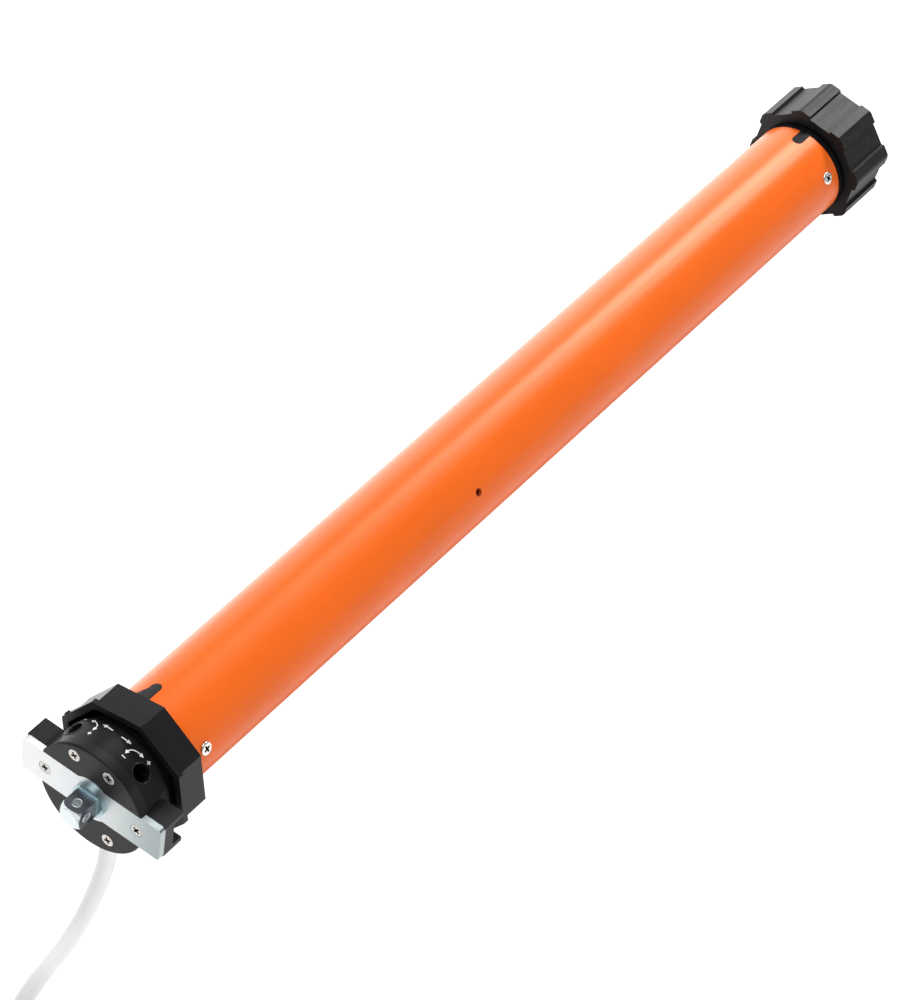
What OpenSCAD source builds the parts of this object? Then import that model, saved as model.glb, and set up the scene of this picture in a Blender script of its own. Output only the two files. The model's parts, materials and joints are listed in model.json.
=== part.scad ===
// Tubular roller shutter motor, lying along +X and held by the square pin of its head.
// The origin is on the motor axis, at the front face of the mounting plate.

/* [Tube] */
// Outside diameter of the motor tube
tube_d = 46; // [44:0.5:50]
// Wall of the motor tube
tube_wall = 1.5; // [0.8:0.1:1.6]
// Length of the motor tube
tube_len = 475; // [460:0.5:600]
// Width of the keys that lock the head and the gearbox in the tube's slots
key_w = 5.5; // [4:0.5:7]
// Length of the slot at the head end of the tube
near_key_len = 13; // [10:0.5:18]
// Length of the slot at the drive end of the tube
far_key_len = 9; // [7:0.5:14]
// Diameter of the small hole in the side of the tube
vent_d = 3; // [2:0.5:5]
// Distance of the small hole from the head end of the tube
vent_x = 194.5; // [150:0.5:240]

/* [Head] */
// Diameter of the round head
head_d = 55; // [54:0.5:58]
// Thickness of the front cover
cover_t = 5; // [5:0.5:7]
// Length of the drum behind the front cover
drum_len = 12.5; // [12:0.5:18]
// Wall of the drum
drum_wall = 2; // [1.6:0.1:3]
// How far the wings behind the plate reach back from it
wing_depth = 11; // [8:0.5:12]
// Wall of the wings
wing_wall = 2.5; // [1.6:0.1:3]
// Diameter of the two limit setting holes
limit_hole_d = 8; // [6:0.5:9]
// Angle of the limit setting holes from the top
limit_angle = 40.5; // [39:0.5:48]

/* [Mounting plate and pin] */
// Length of the mounting plate
plate_len = 72.5; // [68:0.5:84]
// Height of the mounting plate
plate_h = 18; // [17:0.5:22]
// Thickness of the mounting plate
plate_t = 3; // [2:0.5:3.5]
// Diameter of the round middle of the plate
plate_boss_d = 22.5; // [21:0.5:28]
// Distance between the plate's two screws
plate_screw_pitch = 48; // [46:0.5:49]
// Side of the square pin
pin_side = 10; // [8:0.5:12]
// Length of the pin in front of the plate
pin_len = 13; // [10:0.5:20]
// Diameter of the holes through the pin
pin_hole_d = 4; // [3:0.5:5]

/* [Crown] */
// Size of the crown across its flats
crown_af = 58.8; // [58:0.2:64]
// Length of the crown
crown_len = 15.5; // [14:0.5:18]
// Wall of the crown's skirt
crown_wall = 1.6; // [1.2:0.1:2]
// Gap between the drum and the crown
crown_gap = 2.5; // [2:0.5:4]

/* [Drive wheel] */
// Length of the drive wheel
wheel_len = 26.4; // [22:0.2:34]
// Size across the wheel's flats, between the ridges
wheel_af = 54.2; // [50:0.2:56]
// Diameter over the tops of the wheel's ridges
ridge_d = 61; // [58.5:0.5:64]
// Width of a ridge
ridge_w = 10.4; // [8:0.2:13]
// Wall of the wheel's rim
wheel_wall = 3; // [2:0.5:4]
// Side of the square end of the output shaft
drive_side = 10; // [8:0.5:12]

/* [Gearbox] */
// Wall of the toothed ring behind its teeth
ring_wall = 3.83; // [3:0.01:5]
// Face width of the gears
gear_w = 8.5; // [6:0.5:11]
// Play between meshing teeth along the pitch circle
backlash = 0.15; // [0.1:0.01:0.2]
// Diameter of the output shaft in its bush
output_d = 14; // [12:0.5:15]

/* [Motor and brake] */
// Length of the stator's lamination stack
stator_len = 80; // [50:1:100]
// Diameter of the rotor
rotor_d = 17; // [15:0.5:19]
// Air gap between rotor and stator
air_gap = 0.4; // [0.3:0.05:0.6]
// Diameter of the rotor shaft
shaft_d = 6; // [5:0.5:7]
// Diameter of the running capacitor
cap_d = 30; // [25:0.5:34]
// Length of the running capacitor
cap_len = 70; // [50:1:90]
// Travel of the brake's armature plate
brake_travel = 0.35; // [0.2:0.05:0.5]

/* [Cable] */
// Diameter of the cable
cable_d = 7.5; // [7.3:0.1:7.6]
// Loops in each of the coil's two layers
layer_loops = 3.25; // [2.25:0.25:3.25]

/* [Fits] */
// Radial play of turning pieces
run_fit = 0.05; // [0.02:0.01:0.08]
// Radial play of pieces that are pushed together and stay
slip_fit = 0.1; // [0.05:0.01:0.15]
// End play between pieces that turn or slide past each other
end_play = 0.3; // [0.25:0.05:0.4]

/* [Hidden] */
$fn = 72;

// Overshoot of cuts, so that no face is shared with what is cut
over = 1;

// Radii that nest inside the tube
tube_r = tube_d / 2;
bore_r = tube_r - tube_wall;
seat_r = bore_r - slip_fit;
neck_r = seat_r - slip_fit;
neck_wall = 1.6;
neck_bore_r = neck_r - neck_wall;
adapter_wall = 2;

// Places along the axis, from the plate to the tube
head_r = head_d / 2;
draft = 0.5;
drum_x0 = cover_t;
drum_x1 = drum_x0 + drum_len;
bulkhead_t = 3;
bulkhead_x1 = drum_x1 + 1;
bulkhead_x0 = bulkhead_x1 - bulkhead_t;
crown_x0 = drum_x1 + crown_gap;
crown_x1 = crown_x0 + crown_len;
collar_x0 = crown_x1 + end_play;
collar_t = 1.2;
tube_x0 = collar_x0 + collar_t;
tube_x1 = tube_x0 + tube_len;
adapter_plate_t = 3;
adapter_len = 30;
adapter_x1 = tube_x0 + adapter_len;

// Wings
wing_root = 8;
wing_web = 5.5;

// Angles from the top of the head toward the side of the second plate screw
near_key_angle = -18.5;
far_key_angle = -1;
near_screw_angle = 69;
far_screw_angle = 57.8;
vent_angle = 58.8;
side_flat_angle = 55.5;
side_flat_r = head_r - 0.8;
crown_phase = -10.5;
wheel_phase = -14.4;

// Screws: heads, shanks and the holes they leave
screw_head_d = 6;
screw_rim = 0.3;
screw_shank_d = 2.8;
screw_hole_d = 3.2;
screw_boss_r = 2.7;
screw_len = 8;
recess_w = 0.7;
recess_len = 3.2;
recess_depth = 1;
tube_screw_head_d = 6;
tube_screw_head_h = 1;
near_screw_inset = 8.7;
far_screw_inset = 7.7;
tube_screw_x_near = tube_x0 + near_screw_inset;
tube_screw_x_far = tube_x1 - far_screw_inset;
tube_screw_len = 6;
cover_screws_at = [[9.6, 19.5], [-8.2, 19.6], [10, -18.4], [-10, -18.4]];

// Mounting plate and pin
plate_corner_r = 1.5;
pin_collar_d = 16;
pin_collar_t = 1.7;
pin_hole_x = -8.2;
pin_end_r = 3.2;
shank_d = 8;
rivet_d = 11;
rivet_t = 1;

// Limit setting
limit_x = drum_x0 + 5;
limit_turn = -2;
flute_w = 1.2;
flute_depth = 1.6;
adjuster_len = 7;
adjuster_top_r = head_r - 4.5;
adjuster_socket_af = 3.5;
boss_wall = 1.4;

// Limit gears: the crown turns a pinion, an idler and two cams
limit_module = 0.8;
fine_module = 0.4;
fine_pinion_teeth = 10;
fine_wheel_teeth = 50;
fine_backlash = 0.1;
limit_backlash = 0.2;
limit_add = 0.85;
tooth_gap = 0.4;
crown_teeth = 2 * ceil((neck_r + tooth_gap + limit_add * limit_module) / limit_module);
idler_centre = fine_module * (fine_pinion_teeth + fine_wheel_teeth) / 2;
pinion_teeth = crown_teeth - round(2 * idler_centre / limit_module);
pinion_centre = limit_module * (crown_teeth - pinion_teeth) / 2;
wheel_add = 0.6;
fine_pinion_add = 1;
stub_wall = 1;
stub_r = neck_bore_r - slip_fit;
stub_bore_r = stub_r - stub_wall;
cam_room = stub_bore_r - end_play - wheel_add * fine_module;
cam_teeth = floor(cam_room / fine_module - fine_pinion_teeth / 2);
cam_centre = fine_module * (fine_pinion_teeth + cam_teeth) / 2;
axle_r = 1.25;
axle_seat = 2.5;
crown_gear_x0 = crown_x0 + 0.5;
crown_gear_w = 4.5;
pinion_x0 = crown_gear_x0 + 0.7;
pinion_w = 3.2;
idler_wheel_x0 = pinion_x0 + pinion_w + 0.6;
fine_w = 2.4;
cam_wheel_x0 = idler_wheel_x0 + fine_w + 0.6;
cam_x0 = cam_wheel_x0 + fine_w;
cam_w = 2.4;
cam_base_r = 0.62 * cam_centre;
cam_lobe_r = 0.74 * cam_centre;
cam_lobe_angle = 30;
switch_y0 = 0.8;
switch_gap = 0.46;
switch_y1 = cam_centre + slip_fit;
switch_top_z = -cam_lobe_r - cam_w;
switch_h = sqrt((stub_bore_r - switch_gap) ^ 2 - switch_y1 ^ 2) + switch_top_z;
switch_x0 = cam_x0 - 0.4;
plunger_side = 2;
plunger_y = cam_centre - plunger_side;
plunger_depth = switch_h / 2;
plunger_travel = 0.6;
plunger_top_z = -sqrt(cam_lobe_r ^ 2 - (cam_centre - plunger_y) ^ 2) - end_play;

// Crown
sleeve_r = neck_r + 3.7;
crown_web_t = 4;
crown_rim_t = 2.5;
crown_rim_out = 1.6;
crown_rib_t = 1.4;

// Gear train: three equal planet stages in one toothed ring
sun_teeth = 12;
planet_teeth = 18;
ring_teeth = sun_teeth + 2 * planet_teeth;
gear_add = 0.85;
gear_ded = 1.1;
gear_module = (seat_r - ring_wall) / (ring_teeth / 2 + gear_ded);
planet_centre = gear_module * (sun_teeth + planet_teeth) / 2;
planet_pin_r = 2;
carrier_t = 3;
carrier_r = gear_module * ring_teeth / 2 - gear_add * gear_module - 0.7;
stage_pitch = gear_w + carrier_t + 2 * end_play;

// Places along the axis, from the drive end back to the brake
flange_t = 2.8;
gearbox_end_len = 24;
gearbox_x1 = tube_x1 - gearbox_end_len;
ring_len = 3 * stage_pitch + 2.5;
ring_x0 = gearbox_x1 - ring_len;
stage_x0 = ring_x0 + 0.5;
bell_len = 18;
bell_wall = 1.7;
bell_plate_t = 3.5;
stator_x1 = ring_x0 - bell_len;
stator_x0 = stator_x1 - stator_len;
rear_bell_x0 = stator_x0 - bell_len - bell_plate_t;
brake_disc_t = 2.5;
armature_t = 3;
armature_x1 = rear_bell_x0 - brake_disc_t - 2 * end_play;
pot_x1 = armature_x1 - armature_t - brake_travel - 0.05;
pot_len = 24;
pot_x0 = pot_x1 - pot_len;

// Motor
stator_bore_r = rotor_d / 2 + air_gap;
slots = 8;
slot_w = 5;
slot_r0 = stator_bore_r + 2.6;
back_iron = 3.9;
slot_r1 = seat_r - back_iron;
end_turn_step = 0.5;
slot_mouth_w = 2;
slot_liner = 0.2;
end_turn_len = 10;
bearing_d = 16;
bearing_w = 5;
bearing_wall = 2.5;
rotor_end_gap = 5;
rotor_x0 = stator_x0 + rotor_end_gap;
rotor_x1 = stator_x1 - rotor_end_gap;
cage_ring_t = 4;
cage_bars = 16;
cage_bar_r = 0.8;
cage_r = rotor_d / 2 - 1.3;
sun_bore_r = 2;

// Brake
pot_r = seat_r - 1.4;
pot_core_r = 8;
stud_r = 1.5;
stud_circle_r = pot_r - 3;
armature_r = pot_r - 0.6;
brake_disc_r = stud_circle_r - stud_r - 1.2;
pot_rim = 5.5;
pot_cavity_r = pot_r - pot_rim;
brake_coil_gap = 1.4;
brake_coil_len = 12;
spring_wire = 1.2;
spring_r = 5.4;
spring_turns = 5;
spring_len = 11;

// Capacitor holder
holder_wall = 1.5;
cap_rib_t = 3;

// Output
bush_wall = 2.4;
bush_r = output_d / 2 + run_fit + bush_wall;
wheel_gap = 4.6;
wheel_x0 = tube_x1 + wheel_gap;
wheel_x1 = wheel_x0 + wheel_len;
hub_r = 12;
hub_setback = 8;
hub_len = wheel_len - hub_setback;
web_t = 3;
rib_t = 2.5;
washer_r = 8;
washer_t = 1.2;
retainer_head_r = 4.5;
retainer_head_h = 3.2;
retainer_shank_r = 2.1;
retainer_len = 11;

// Cable: exit from the drum and the route to the coil on the floor under the head
floor_z = -82;
cable_x = drum_x0 + 5;
cable_y = -3.5;
grommet_wall = 0.9;
terminal_z0 = -13.5;
terminal_size = [9, 15, 7];
cable_sides = 10;
cable_route = [
    [10, -3.5, -13.5], [10, -3.5, -21], [10, -3.5, -30], [9.8, -3.5, -38], [8.4, -3.6, -48],
    [4.5, -3.9, -57], [-1.6, -4.5, -65], [-9.5, -5.2, -71], [-18.6, -6, -74.8], [-28.5, -6.9, -76.4],
    [-40.4, -8.6, -77], [-52, -11.7, -77.2], [-63, -16.4, -77], [-73.5, -22.2, -76.8],
    [-83.8, -28.4, -76.6], [-90.7, -32.4, -76.6]
];

// Coil: two layers of loops, in along the bottom and out again along the top
coil_sides = 6;
loop_steps = 24;
coil_gap = 0.6;
coil_pitch = cable_d + coil_gap;
coil_r0 = 58;
coil_entry = cable_route[len(cable_route) - 1];
coil_before = cable_route[len(cable_route) - 2];
coil_heading = atan2(coil_entry[1] - coil_before[1], coil_entry[0] - coil_before[0]);
coil_start = coil_entry + cable_d * [cos(coil_heading), sin(coil_heading), 0];
layer_steps = round(layer_loops * loop_steps);
coil_steps = 2 * layer_steps;
climb_steps = loop_steps / 2;

// Tie round the coil and the stripped end
tie_w = 4.5;
tie_t = 1.2;
tie_gap = 0.4;
tie_steps = 10;
core_d = 2.2;
core_len_steps = 5;
core_sides = 8;

// Turns a shape drawn in Y and Z so that its own height runs along the motor axis
module along_x(x = 0) {
    translate([x, 0, 0]) rotate([90, 0, 90]) children();
}

// Puts a shape whose own +Z points outward at an angle round the axis
module radial(angle, x) {
    translate([x, 0, 0]) rotate([angle, 0, 0]) children();
}

// Puts a shape at a place on the head's front face, its own +Z pointing out of that face
module facing_front(place) {
    translate([0, place[0], place[1]]) rotate([0, -90, 0]) children();
}

module disc(r, x0, x1) {
    along_x(x0) cylinder(r = r, h = x1 - x0);
}

module sleeve(ro, ri, x0, x1) {
    along_x(x0) linear_extrude(x1 - x0) difference() {
        circle(ro);
        circle(ri);
    }
}

function octagon_r(af) = af / 2 / cos(22.5);

module octagon(af) {
    rotate(22.5) circle(octagon_r(af), $fn = 8);
}

// Gear teeth: angle of the involute at radius r, in degrees
function involute(base, r) = let (t = sqrt(max(0, (r / base) ^ 2 - 1))) t * 180 / PI - atan(t);

pressure_angle = 20;

// Half the angle of a tooth at radius r, for a tooth of thickness t on the pitch circle
function half_tooth(pitch, t, r) = let (base = pitch * cos(pressure_angle))
    t / 2 / pitch * 180 / PI + involute(base, pitch) - involute(base, max(r, base));

flank_steps = 3;

// Outline of a gear between two radii, with tooth 0 on +X
function gear_points(teeth, m, t, r_low, r_high) = let (
    pitch = teeth * m / 2,
    start = min(max(r_low + 0.01, pitch * cos(pressure_angle)), r_high - 0.01),
    radii = concat([r_low], [for (i = [0:flank_steps]) start + (r_high - start) * i / flank_steps])
) [
    for (k = [0:teeth - 1])
        for (s = [-1, 1])
            for (i = [0:len(radii) - 1]) let (
                r = s < 0 ? radii[i] : radii[len(radii) - 1 - i],
                a = k * 360 / teeth + s * half_tooth(pitch, t, r)
            ) [r * cos(a), r * sin(a)]
];

// Outer gear, tooth 0 on +X
module gear(teeth, m, play, add, ded) {
    pitch = teeth * m / 2;
    polygon(gear_points(teeth, m, PI * m / 2 - play / 2, pitch - ded * m, pitch + add * m));
}

// Hole of an inner gear, tooth space 0 on +X
module gear_hole(teeth, m, play, add, ded) {
    pitch = teeth * m / 2;
    polygon(gear_points(teeth, m, PI * m / 2 + play / 2, pitch - add * m, pitch + ded * m));
}

// Slot or key that runs from a tube end, with a round inner end; dir is +1 or -1 along X
module key_shape(w, len, dir) {
    straight = len - w / 2;
    linear_extrude(tube_d) {
        translate([dir > 0 ? 0 : -straight, -w / 2]) square([straight, w]);
        translate([dir * straight, 0]) circle(d = w);
    }
}

// Screw along -Z, its countersunk head flush at Z = 0
module flat_screw(len) {
    d = screw_shank_d - 2 * slip_fit;
    cone_h = (screw_head_d - d) / 2;
    difference() {
        union() {
            translate([0, 0, -screw_rim]) cylinder(d = screw_head_d, h = screw_rim);
            translate([0, 0, -screw_rim - cone_h]) cylinder(d1 = d, d2 = screw_head_d, h = cone_h);
            translate([0, 0, -len]) cylinder(d = d, h = len - screw_rim);
        }
        cross_recess(0);
    }
}

// Cut that takes a countersunk screw, from above Z = 0 down to its through hole
module countersink(depth) {
    r = screw_head_d / 2 + slip_fit;
    cone_h = r - screw_hole_d / 2;
    translate([0, 0, -screw_rim]) cylinder(r = r, h = screw_rim + over);
    translate([0, 0, -screw_rim - cone_h]) cylinder(d1 = screw_hole_d, r2 = r, h = cone_h);
    translate([0, 0, -depth]) cylinder(d = screw_hole_d, h = depth);
}

module cross_recess(top) {
    for (a = [0, 90])
        rotate(a) translate([-recess_len / 2, -recess_w / 2, top - recess_depth])
            cube([recess_len, recess_w, recess_depth + over]);
}

// Screw along -Z from its head's seat at Z = 0, with a low domed head
module dome_screw(head_d, head_h, len) {
    dome_r = ((head_d / 2) ^ 2 + (head_h / 2) ^ 2) / head_h;
    difference() {
        union() {
            intersection() {
                cylinder(d = head_d, h = head_h);
                translate([0, 0, head_h - dome_r]) sphere(dome_r);
            }
            translate([0, 0, -len]) cylinder(d = screw_shank_d - 2 * slip_fit, h = len);
        }
        cross_recess(head_h);
    }
}

// Orange steel tube with a slot at each end, a screw hole at each end and a small side hole
module tube() {
    color("darkorange")
    difference() {
        sleeve(tube_r, bore_r, tube_x0, tube_x1);
        radial(near_key_angle, tube_x0) key_shape(key_w, near_key_len, 1);
        radial(far_key_angle, tube_x1) key_shape(key_w, far_key_len, -1);
        radial(near_screw_angle, tube_screw_x_near) cylinder(d = screw_hole_d, h = tube_d);
        radial(far_screw_angle, tube_screw_x_far) cylinder(d = screw_hole_d, h = tube_d);
        radial(vent_angle, tube_x0 + vent_x) cylinder(d = vent_d, h = tube_d);
    }
}

// Flat facets on both sides of the head
module side_flats(x0, x1) {
    for (s = [-1, 1])
        radial(s * side_flat_angle, x0 - over)
            translate([0, -head_r, side_flat_r]) cube([x1 - x0 + 2 * over, head_d, head_r]);
}

// Channel-shaped wing behind one end of the plate: a thick web and two flanges
module wing(side) {
    inner = head_r - wing_root;
    tip = plate_len / 2;
    along_x(plate_t) linear_extrude(wing_web) wing_strip(side, inner, tip, -plate_h / 2, plate_h / 2);
    for (z = [plate_h / 2 - wing_wall, -plate_h / 2])
        along_x(plate_t) linear_extrude(wing_depth) wing_strip(side, inner, tip, z, z + wing_wall);
}

module wing_strip(side, y0, y1, z0, z1) {
    scale([side, 1]) translate([y0, z0]) square([y1 - y0, z1 - z0]);
}

// Black moulded head: drum, wings, neck for the crown and bosses for screws and limit adjusters
module head_housing() {
    cavity_r = head_r - drum_wall - draft;
    color("dimgray")
    difference() {
        union() {
            difference() {
                union() {
                    difference() {
                        along_x(drum_x0) cylinder(r1 = head_r, r2 = head_r - draft, h = drum_len);
                        side_flats(drum_x0, drum_x1);
                    }
                    for (s = [-1, 1]) wing(s);
                }
                disc(head_r + slip_fit, plate_t - over, drum_x0);
                disc(cavity_r, drum_x0 - over, bulkhead_x0);
            }
            sleeve(neck_r, neck_bore_r, bulkhead_x0, collar_x0);
            disc(neck_r, bulkhead_x0, bulkhead_x1);
            disc(sleeve_r - 0.7, drum_x1 - over, crown_gear_x0 - end_play);
            head_bosses(cavity_r);
        }
        disc(neck_bore_r, bulkhead_x1, collar_x0 + over);
        for (p = cover_screws_at)
            along_x(drum_x0 - over) translate(p) cylinder(d = screw_shank_d, h = screw_len + over);
        for (s = [-1, 1])
            along_x(drum_x0 - over) translate([s * plate_screw_pitch / 2, 0])
                cylinder(d = screw_shank_d, h = screw_len + over);
        for (s = [-1, 1])
            radial(s * limit_angle + limit_turn, limit_x)
                translate([0, 0, adjuster_top_r - adjuster_len - end_play])
                    cylinder(d = limit_hole_d, h = head_d);
        translate([cable_x, cable_y, -head_d]) cylinder(r = grommet_r(), h = head_d + terminal_z0);
        translate([drum_x0 - over, cable_y - grommet_r(), -head_d])
            cube([cable_x - drum_x0 + over, 2 * grommet_r(), head_d + terminal_z0]);
        along_x(bulkhead_x1 - axle_seat) translate([0, pinion_centre])
            cylinder(r = axle_r, h = axle_seat + over);
        along_x(pinion_x0 - end_play) translate([0, pinion_centre])
            cylinder(r = pinion_tip_r() + tooth_gap, h = pinion_w + 2 * end_play);
    }
}

function grommet_r() = cable_d / 2 + slip_fit + grommet_wall;
function pinion_tip_r() = limit_module * (pinion_teeth / 2 + limit_add);

// Bosses inside the drum, cut to the drum's own outline
module head_bosses(cavity_r) {
    intersection() {
        union() {
            for (p = cover_screws_at)
                along_x(drum_x0) translate(p) cylinder(r = screw_boss_r, h = bulkhead_x0 - drum_x0 + over);
            for (s = [-1, 1])
                along_x(drum_x0) translate([s * plate_screw_pitch / 2, 0])
                    cylinder(r = screw_boss_r, h = bulkhead_x0 - drum_x0 + over);
            for (s = [-1, 1])
                radial(s * limit_angle + limit_turn, limit_x)
                    translate([0, 0, adjuster_top_r - adjuster_len - end_play - boss_wall])
                        cylinder(d = limit_hole_d + 2 * boss_wall, h = head_d);
        }
        disc(cavity_r + drum_wall / 2, drum_x0, bulkhead_x1);
    }
}

// Round front cover with a channel for the plate and four screw seats
module head_cover() {
    edge_r = 1;
    color("dimgray")
    difference() {
        along_x(0) rotate_extrude() {
            square([head_r - edge_r, cover_t]);
            translate([0, edge_r]) square([head_r, cover_t - edge_r]);
            translate([head_r - edge_r, edge_r]) circle(edge_r);
        }
        side_flats(0, cover_t);
        along_x(-over) linear_extrude(plate_t + over) {
            square([head_d + 2 * over, plate_h + 2 * slip_fit], center = true);
            circle(d = plate_boss_d + 2 * slip_fit);
        }
        disc(rivet_d / 2 + end_play, plate_t - over, plate_t + rivet_t + end_play);
        for (p = cover_screws_at) facing_front(p) countersink(cover_t + over);
        for (s = [-1, 1])
            along_x(0) translate([s * plate_screw_pitch / 2, 0])
                cylinder(d = screw_hole_d, h = cover_t + over);
    }
}

// Outline of the plate: a strip with rounded corners and a round middle
module plate_outline() {
    r = plate_corner_r;
    square([plate_len - 2 * r, plate_h], center = true);
    square([plate_len, plate_h - 2 * r], center = true);
    for (y = [-1, 1], z = [-1, 1])
        translate([y * (plate_len / 2 - r), z * (plate_h / 2 - r)]) circle(r);
    circle(d = plate_boss_d);
}

// Zinc plated mounting plate
module mounting_plate() {
    color("gainsboro")
    difference() {
        along_x(0) linear_extrude(plate_t) plate_outline();
        disc(shank_d / 2 + slip_fit, -over, plate_t + over);
        for (s = [-1, 1]) facing_front([s * plate_screw_pitch / 2, 0]) countersink(plate_t + over);
    }
}

// Square pin riveted into the plate, with a collar, a rounded end and two crossing holes
module square_pin() {
    corner_r = pin_side * sqrt(2) / 2;
    color("gainsboro")
    difference() {
        union() {
            intersection() {
                translate([-pin_len, -pin_side / 2, -pin_side / 2]) cube([pin_len, pin_side, pin_side]);
                along_x(-pin_len) rotate_extrude() {
                    square([corner_r - pin_end_r, pin_len]);
                    translate([0, pin_end_r]) square([corner_r, pin_len - pin_end_r]);
                    translate([corner_r - pin_end_r, pin_end_r]) circle(pin_end_r);
                }
            }
            disc(pin_collar_d / 2, -pin_collar_t, 0);
            disc(shank_d / 2, -over, plate_t + rivet_t);
            disc(rivet_d / 2, plate_t, plate_t + rivet_t);
        }
        translate([pin_hole_x, 0, 0]) rotate([90, 0, 0])
            cylinder(d = pin_hole_d, h = pin_side + 2 * over, center = true);
        translate([pin_hole_x, 0, 0]) cylinder(d = pin_hole_d, h = pin_side + 2 * over, center = true);
    }
}

module plate_screws() {
    color("silver")
    for (s = [-1, 1]) facing_front([s * plate_screw_pitch / 2, 0]) flat_screw(cover_t + screw_len - over);
}

module cover_screws() {
    color("silver")
    for (p = cover_screws_at) facing_front(p) flat_screw(cover_t + screw_len - over);
}

// Screws through the tube into the adapter and the gearbox end
module tube_screws() {
    color("silver") {
        radial(near_screw_angle, tube_screw_x_near) tube_screw();
        radial(far_screw_angle, tube_screw_x_far) tube_screw();
    }
}

module tube_screw() {
    translate([0, 0, tube_r]) dome_screw(tube_screw_head_d, tube_screw_head_h, tube_screw_len);
}

// Black insert that carries the tube, closes the neck and holds the limit gears
module tube_adapter() {
    color("dimgray")
    difference() {
        union() {
            sleeve(stub_r, stub_bore_r, collar_x0 - 2, tube_x0);
            sleeve(tube_r, stub_bore_r, collar_x0, tube_x0);
            disc(seat_r, tube_x0, tube_x0 + adapter_plate_t);
            sleeve(seat_r, seat_r - adapter_wall, tube_x0, adapter_x1);
            intersection() {
                radial(near_key_angle, tube_x0) key_shape(key_w - 2 * slip_fit, near_key_len - slip_fit, 1);
                sleeve(tube_r, seat_r - adapter_wall, tube_x0, adapter_x1);
            }
            intersection() {
                radial(near_screw_angle, tube_screw_x_near) cylinder(r = screw_boss_r + 1, h = tube_d);
                sleeve(seat_r - adapter_wall / 2, seat_r - tube_screw_len, tube_x0, adapter_x1);
            }
        }
        radial(near_screw_angle, tube_screw_x_near)
            translate([0, 0, tube_r - tube_screw_len - 1]) cylinder(d = screw_shank_d, h = tube_d);
        for (p = limit_axle_places())
            along_x(tube_x0 - over) translate(p) cylinder(r = axle_r, h = axle_seat + over);
        along_x(tube_x0 - over) translate([0, -seat_r + adapter_wall + 3.2])
            cylinder(r = 2.5, h = 2 * adapter_len);
    }
}

// Axles of the limit gears across the adapter plate: pinion, idler and two cams
function limit_axle_places() = [[0, pinion_centre], [0, 0], [cam_centre, 0], [-cam_centre, 0]];

module limit_axles() {
    starts = [bulkhead_x1 - axle_seat, idler_wheel_x0 - 0.4, cam_wheel_x0, cam_wheel_x0];
    color("silver")
    for (i = [0:3])
        along_x(starts[i]) translate(limit_axle_places()[i])
            cylinder(r = axle_r - slip_fit / 4, h = tube_x0 + axle_seat - starts[i]);
}

// Terminal block on the bulkhead, where the cable's cores end inside the drum
module terminal_block() {
    color("ivory")
    difference() {
        translate([bulkhead_x0 - terminal_size[0], cable_y - terminal_size[1] / 2, terminal_z0])
            cube(terminal_size);
        for (i = [-1.5:1.5])
            translate([bulkhead_x0 - terminal_size[0] - over, cable_y + i * 3.4, terminal_z0 + 4.5])
                rotate([0, 90, 0]) cylinder(d = 2.2, h = 4);
    }
}

// Grommet in the drum wall, round the cable
module cable_grommet() {
    inner_r = cable_d / 2 + slip_fit;
    flange_z = -head_r + drum_wall + 1.6;
    color("black")
    translate([cable_x, cable_y, 0])
    difference() {
        translate([0, 0, -head_r + 0.6]) cylinder(r = grommet_r() - slip_fit, h = flange_z + head_r + 0.6);
        translate([0, 0, -head_d]) cylinder(r = inner_r, h = head_d);
    }
}

function unit(v) = v / norm(v);

// Side direction of a tube at point i: level, and square to the tube's own direction
function run_at(path, i) = unit(path[min(i + 1, len(path) - 1)] - path[max(i - 1, 0)]);

// One ring of points round a tube, carried along without twist from the ring before
function carried(side, run) = unit(side - (side * run) * run);
function sides_along(path, i, side) = i == len(path) ? [] : let (s = carried(side, run_at(path, i)))
    concat([s], sides_along(path, i + 1, s));

// Tube of n sides along a path, closed at both ends
module swept_tube(path, r, n, first_side) {
    sides = sides_along(path, 0, first_side);
    rings = len(path);
    points = [
        for (i = [0:rings - 1]) let (run = run_at(path, i), s = sides[i], t = cross(run, s))
            for (k = [0:n - 1]) path[i] + r * (cos(k * 360 / n) * s + sin(k * 360 / n) * t)
    ];
    walls = [
        for (i = [0:rings - 2], k = [0:n - 1]) let (
            a = i * n + k,
            b = i * n + (k + 1) % n
        ) each [[a, b, a + n], [b, b + n, a + n]]
    ];
    caps = [
        for (k = [1:n - 2]) let (last = (rings - 1) * n)
            each [[0, k + 1, k], [last, last + k, last + k + 1]]
    ];
    polyhedron(points, [for (f = concat(walls, caps)) [f[0], f[2], f[1]]], convexity = 10);
}

// White cable from the terminal block down to the floor and along it
module cable() {
    color("white") swept_tube(cable_route, cable_d / 2, cable_sides, [1, 0, 0]);
}

// Coil geometry: step i of the whole winding, counted from the outer end of the bottom layer
function coil_radius(i) = coil_r0 - coil_pitch * (layer_steps - abs(layer_steps - i)) / loop_steps;
function coil_rise(i) = (min(max(i - layer_steps + climb_steps / 2, 0), climb_steps)) / climb_steps;
coil_centre = coil_start + coil_r0 * [sin(coil_heading), -cos(coil_heading), 0];
function coil_angle(i) = coil_heading + 90 - i * 360 / loop_steps;
function coil_point(i) = coil_centre + [
    coil_radius(i) * cos(coil_angle(i)),
    coil_radius(i) * sin(coil_angle(i)),
    coil_rise(i) * (cable_d + coil_gap)
];
// Seam between the coil and what it joins
seam = 0.05;
coil_tail_run = [sin(coil_angle(coil_steps)), -cos(coil_angle(coil_steps)), 0];
coil_end = coil_point(coil_steps) + cable_d * coil_tail_run;
coil_first = coil_entry + seam * [cos(coil_heading), sin(coil_heading), 0];
function coil_path() = [coil_first, for (i = [0:coil_steps]) coil_point(i), coil_end];

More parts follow.
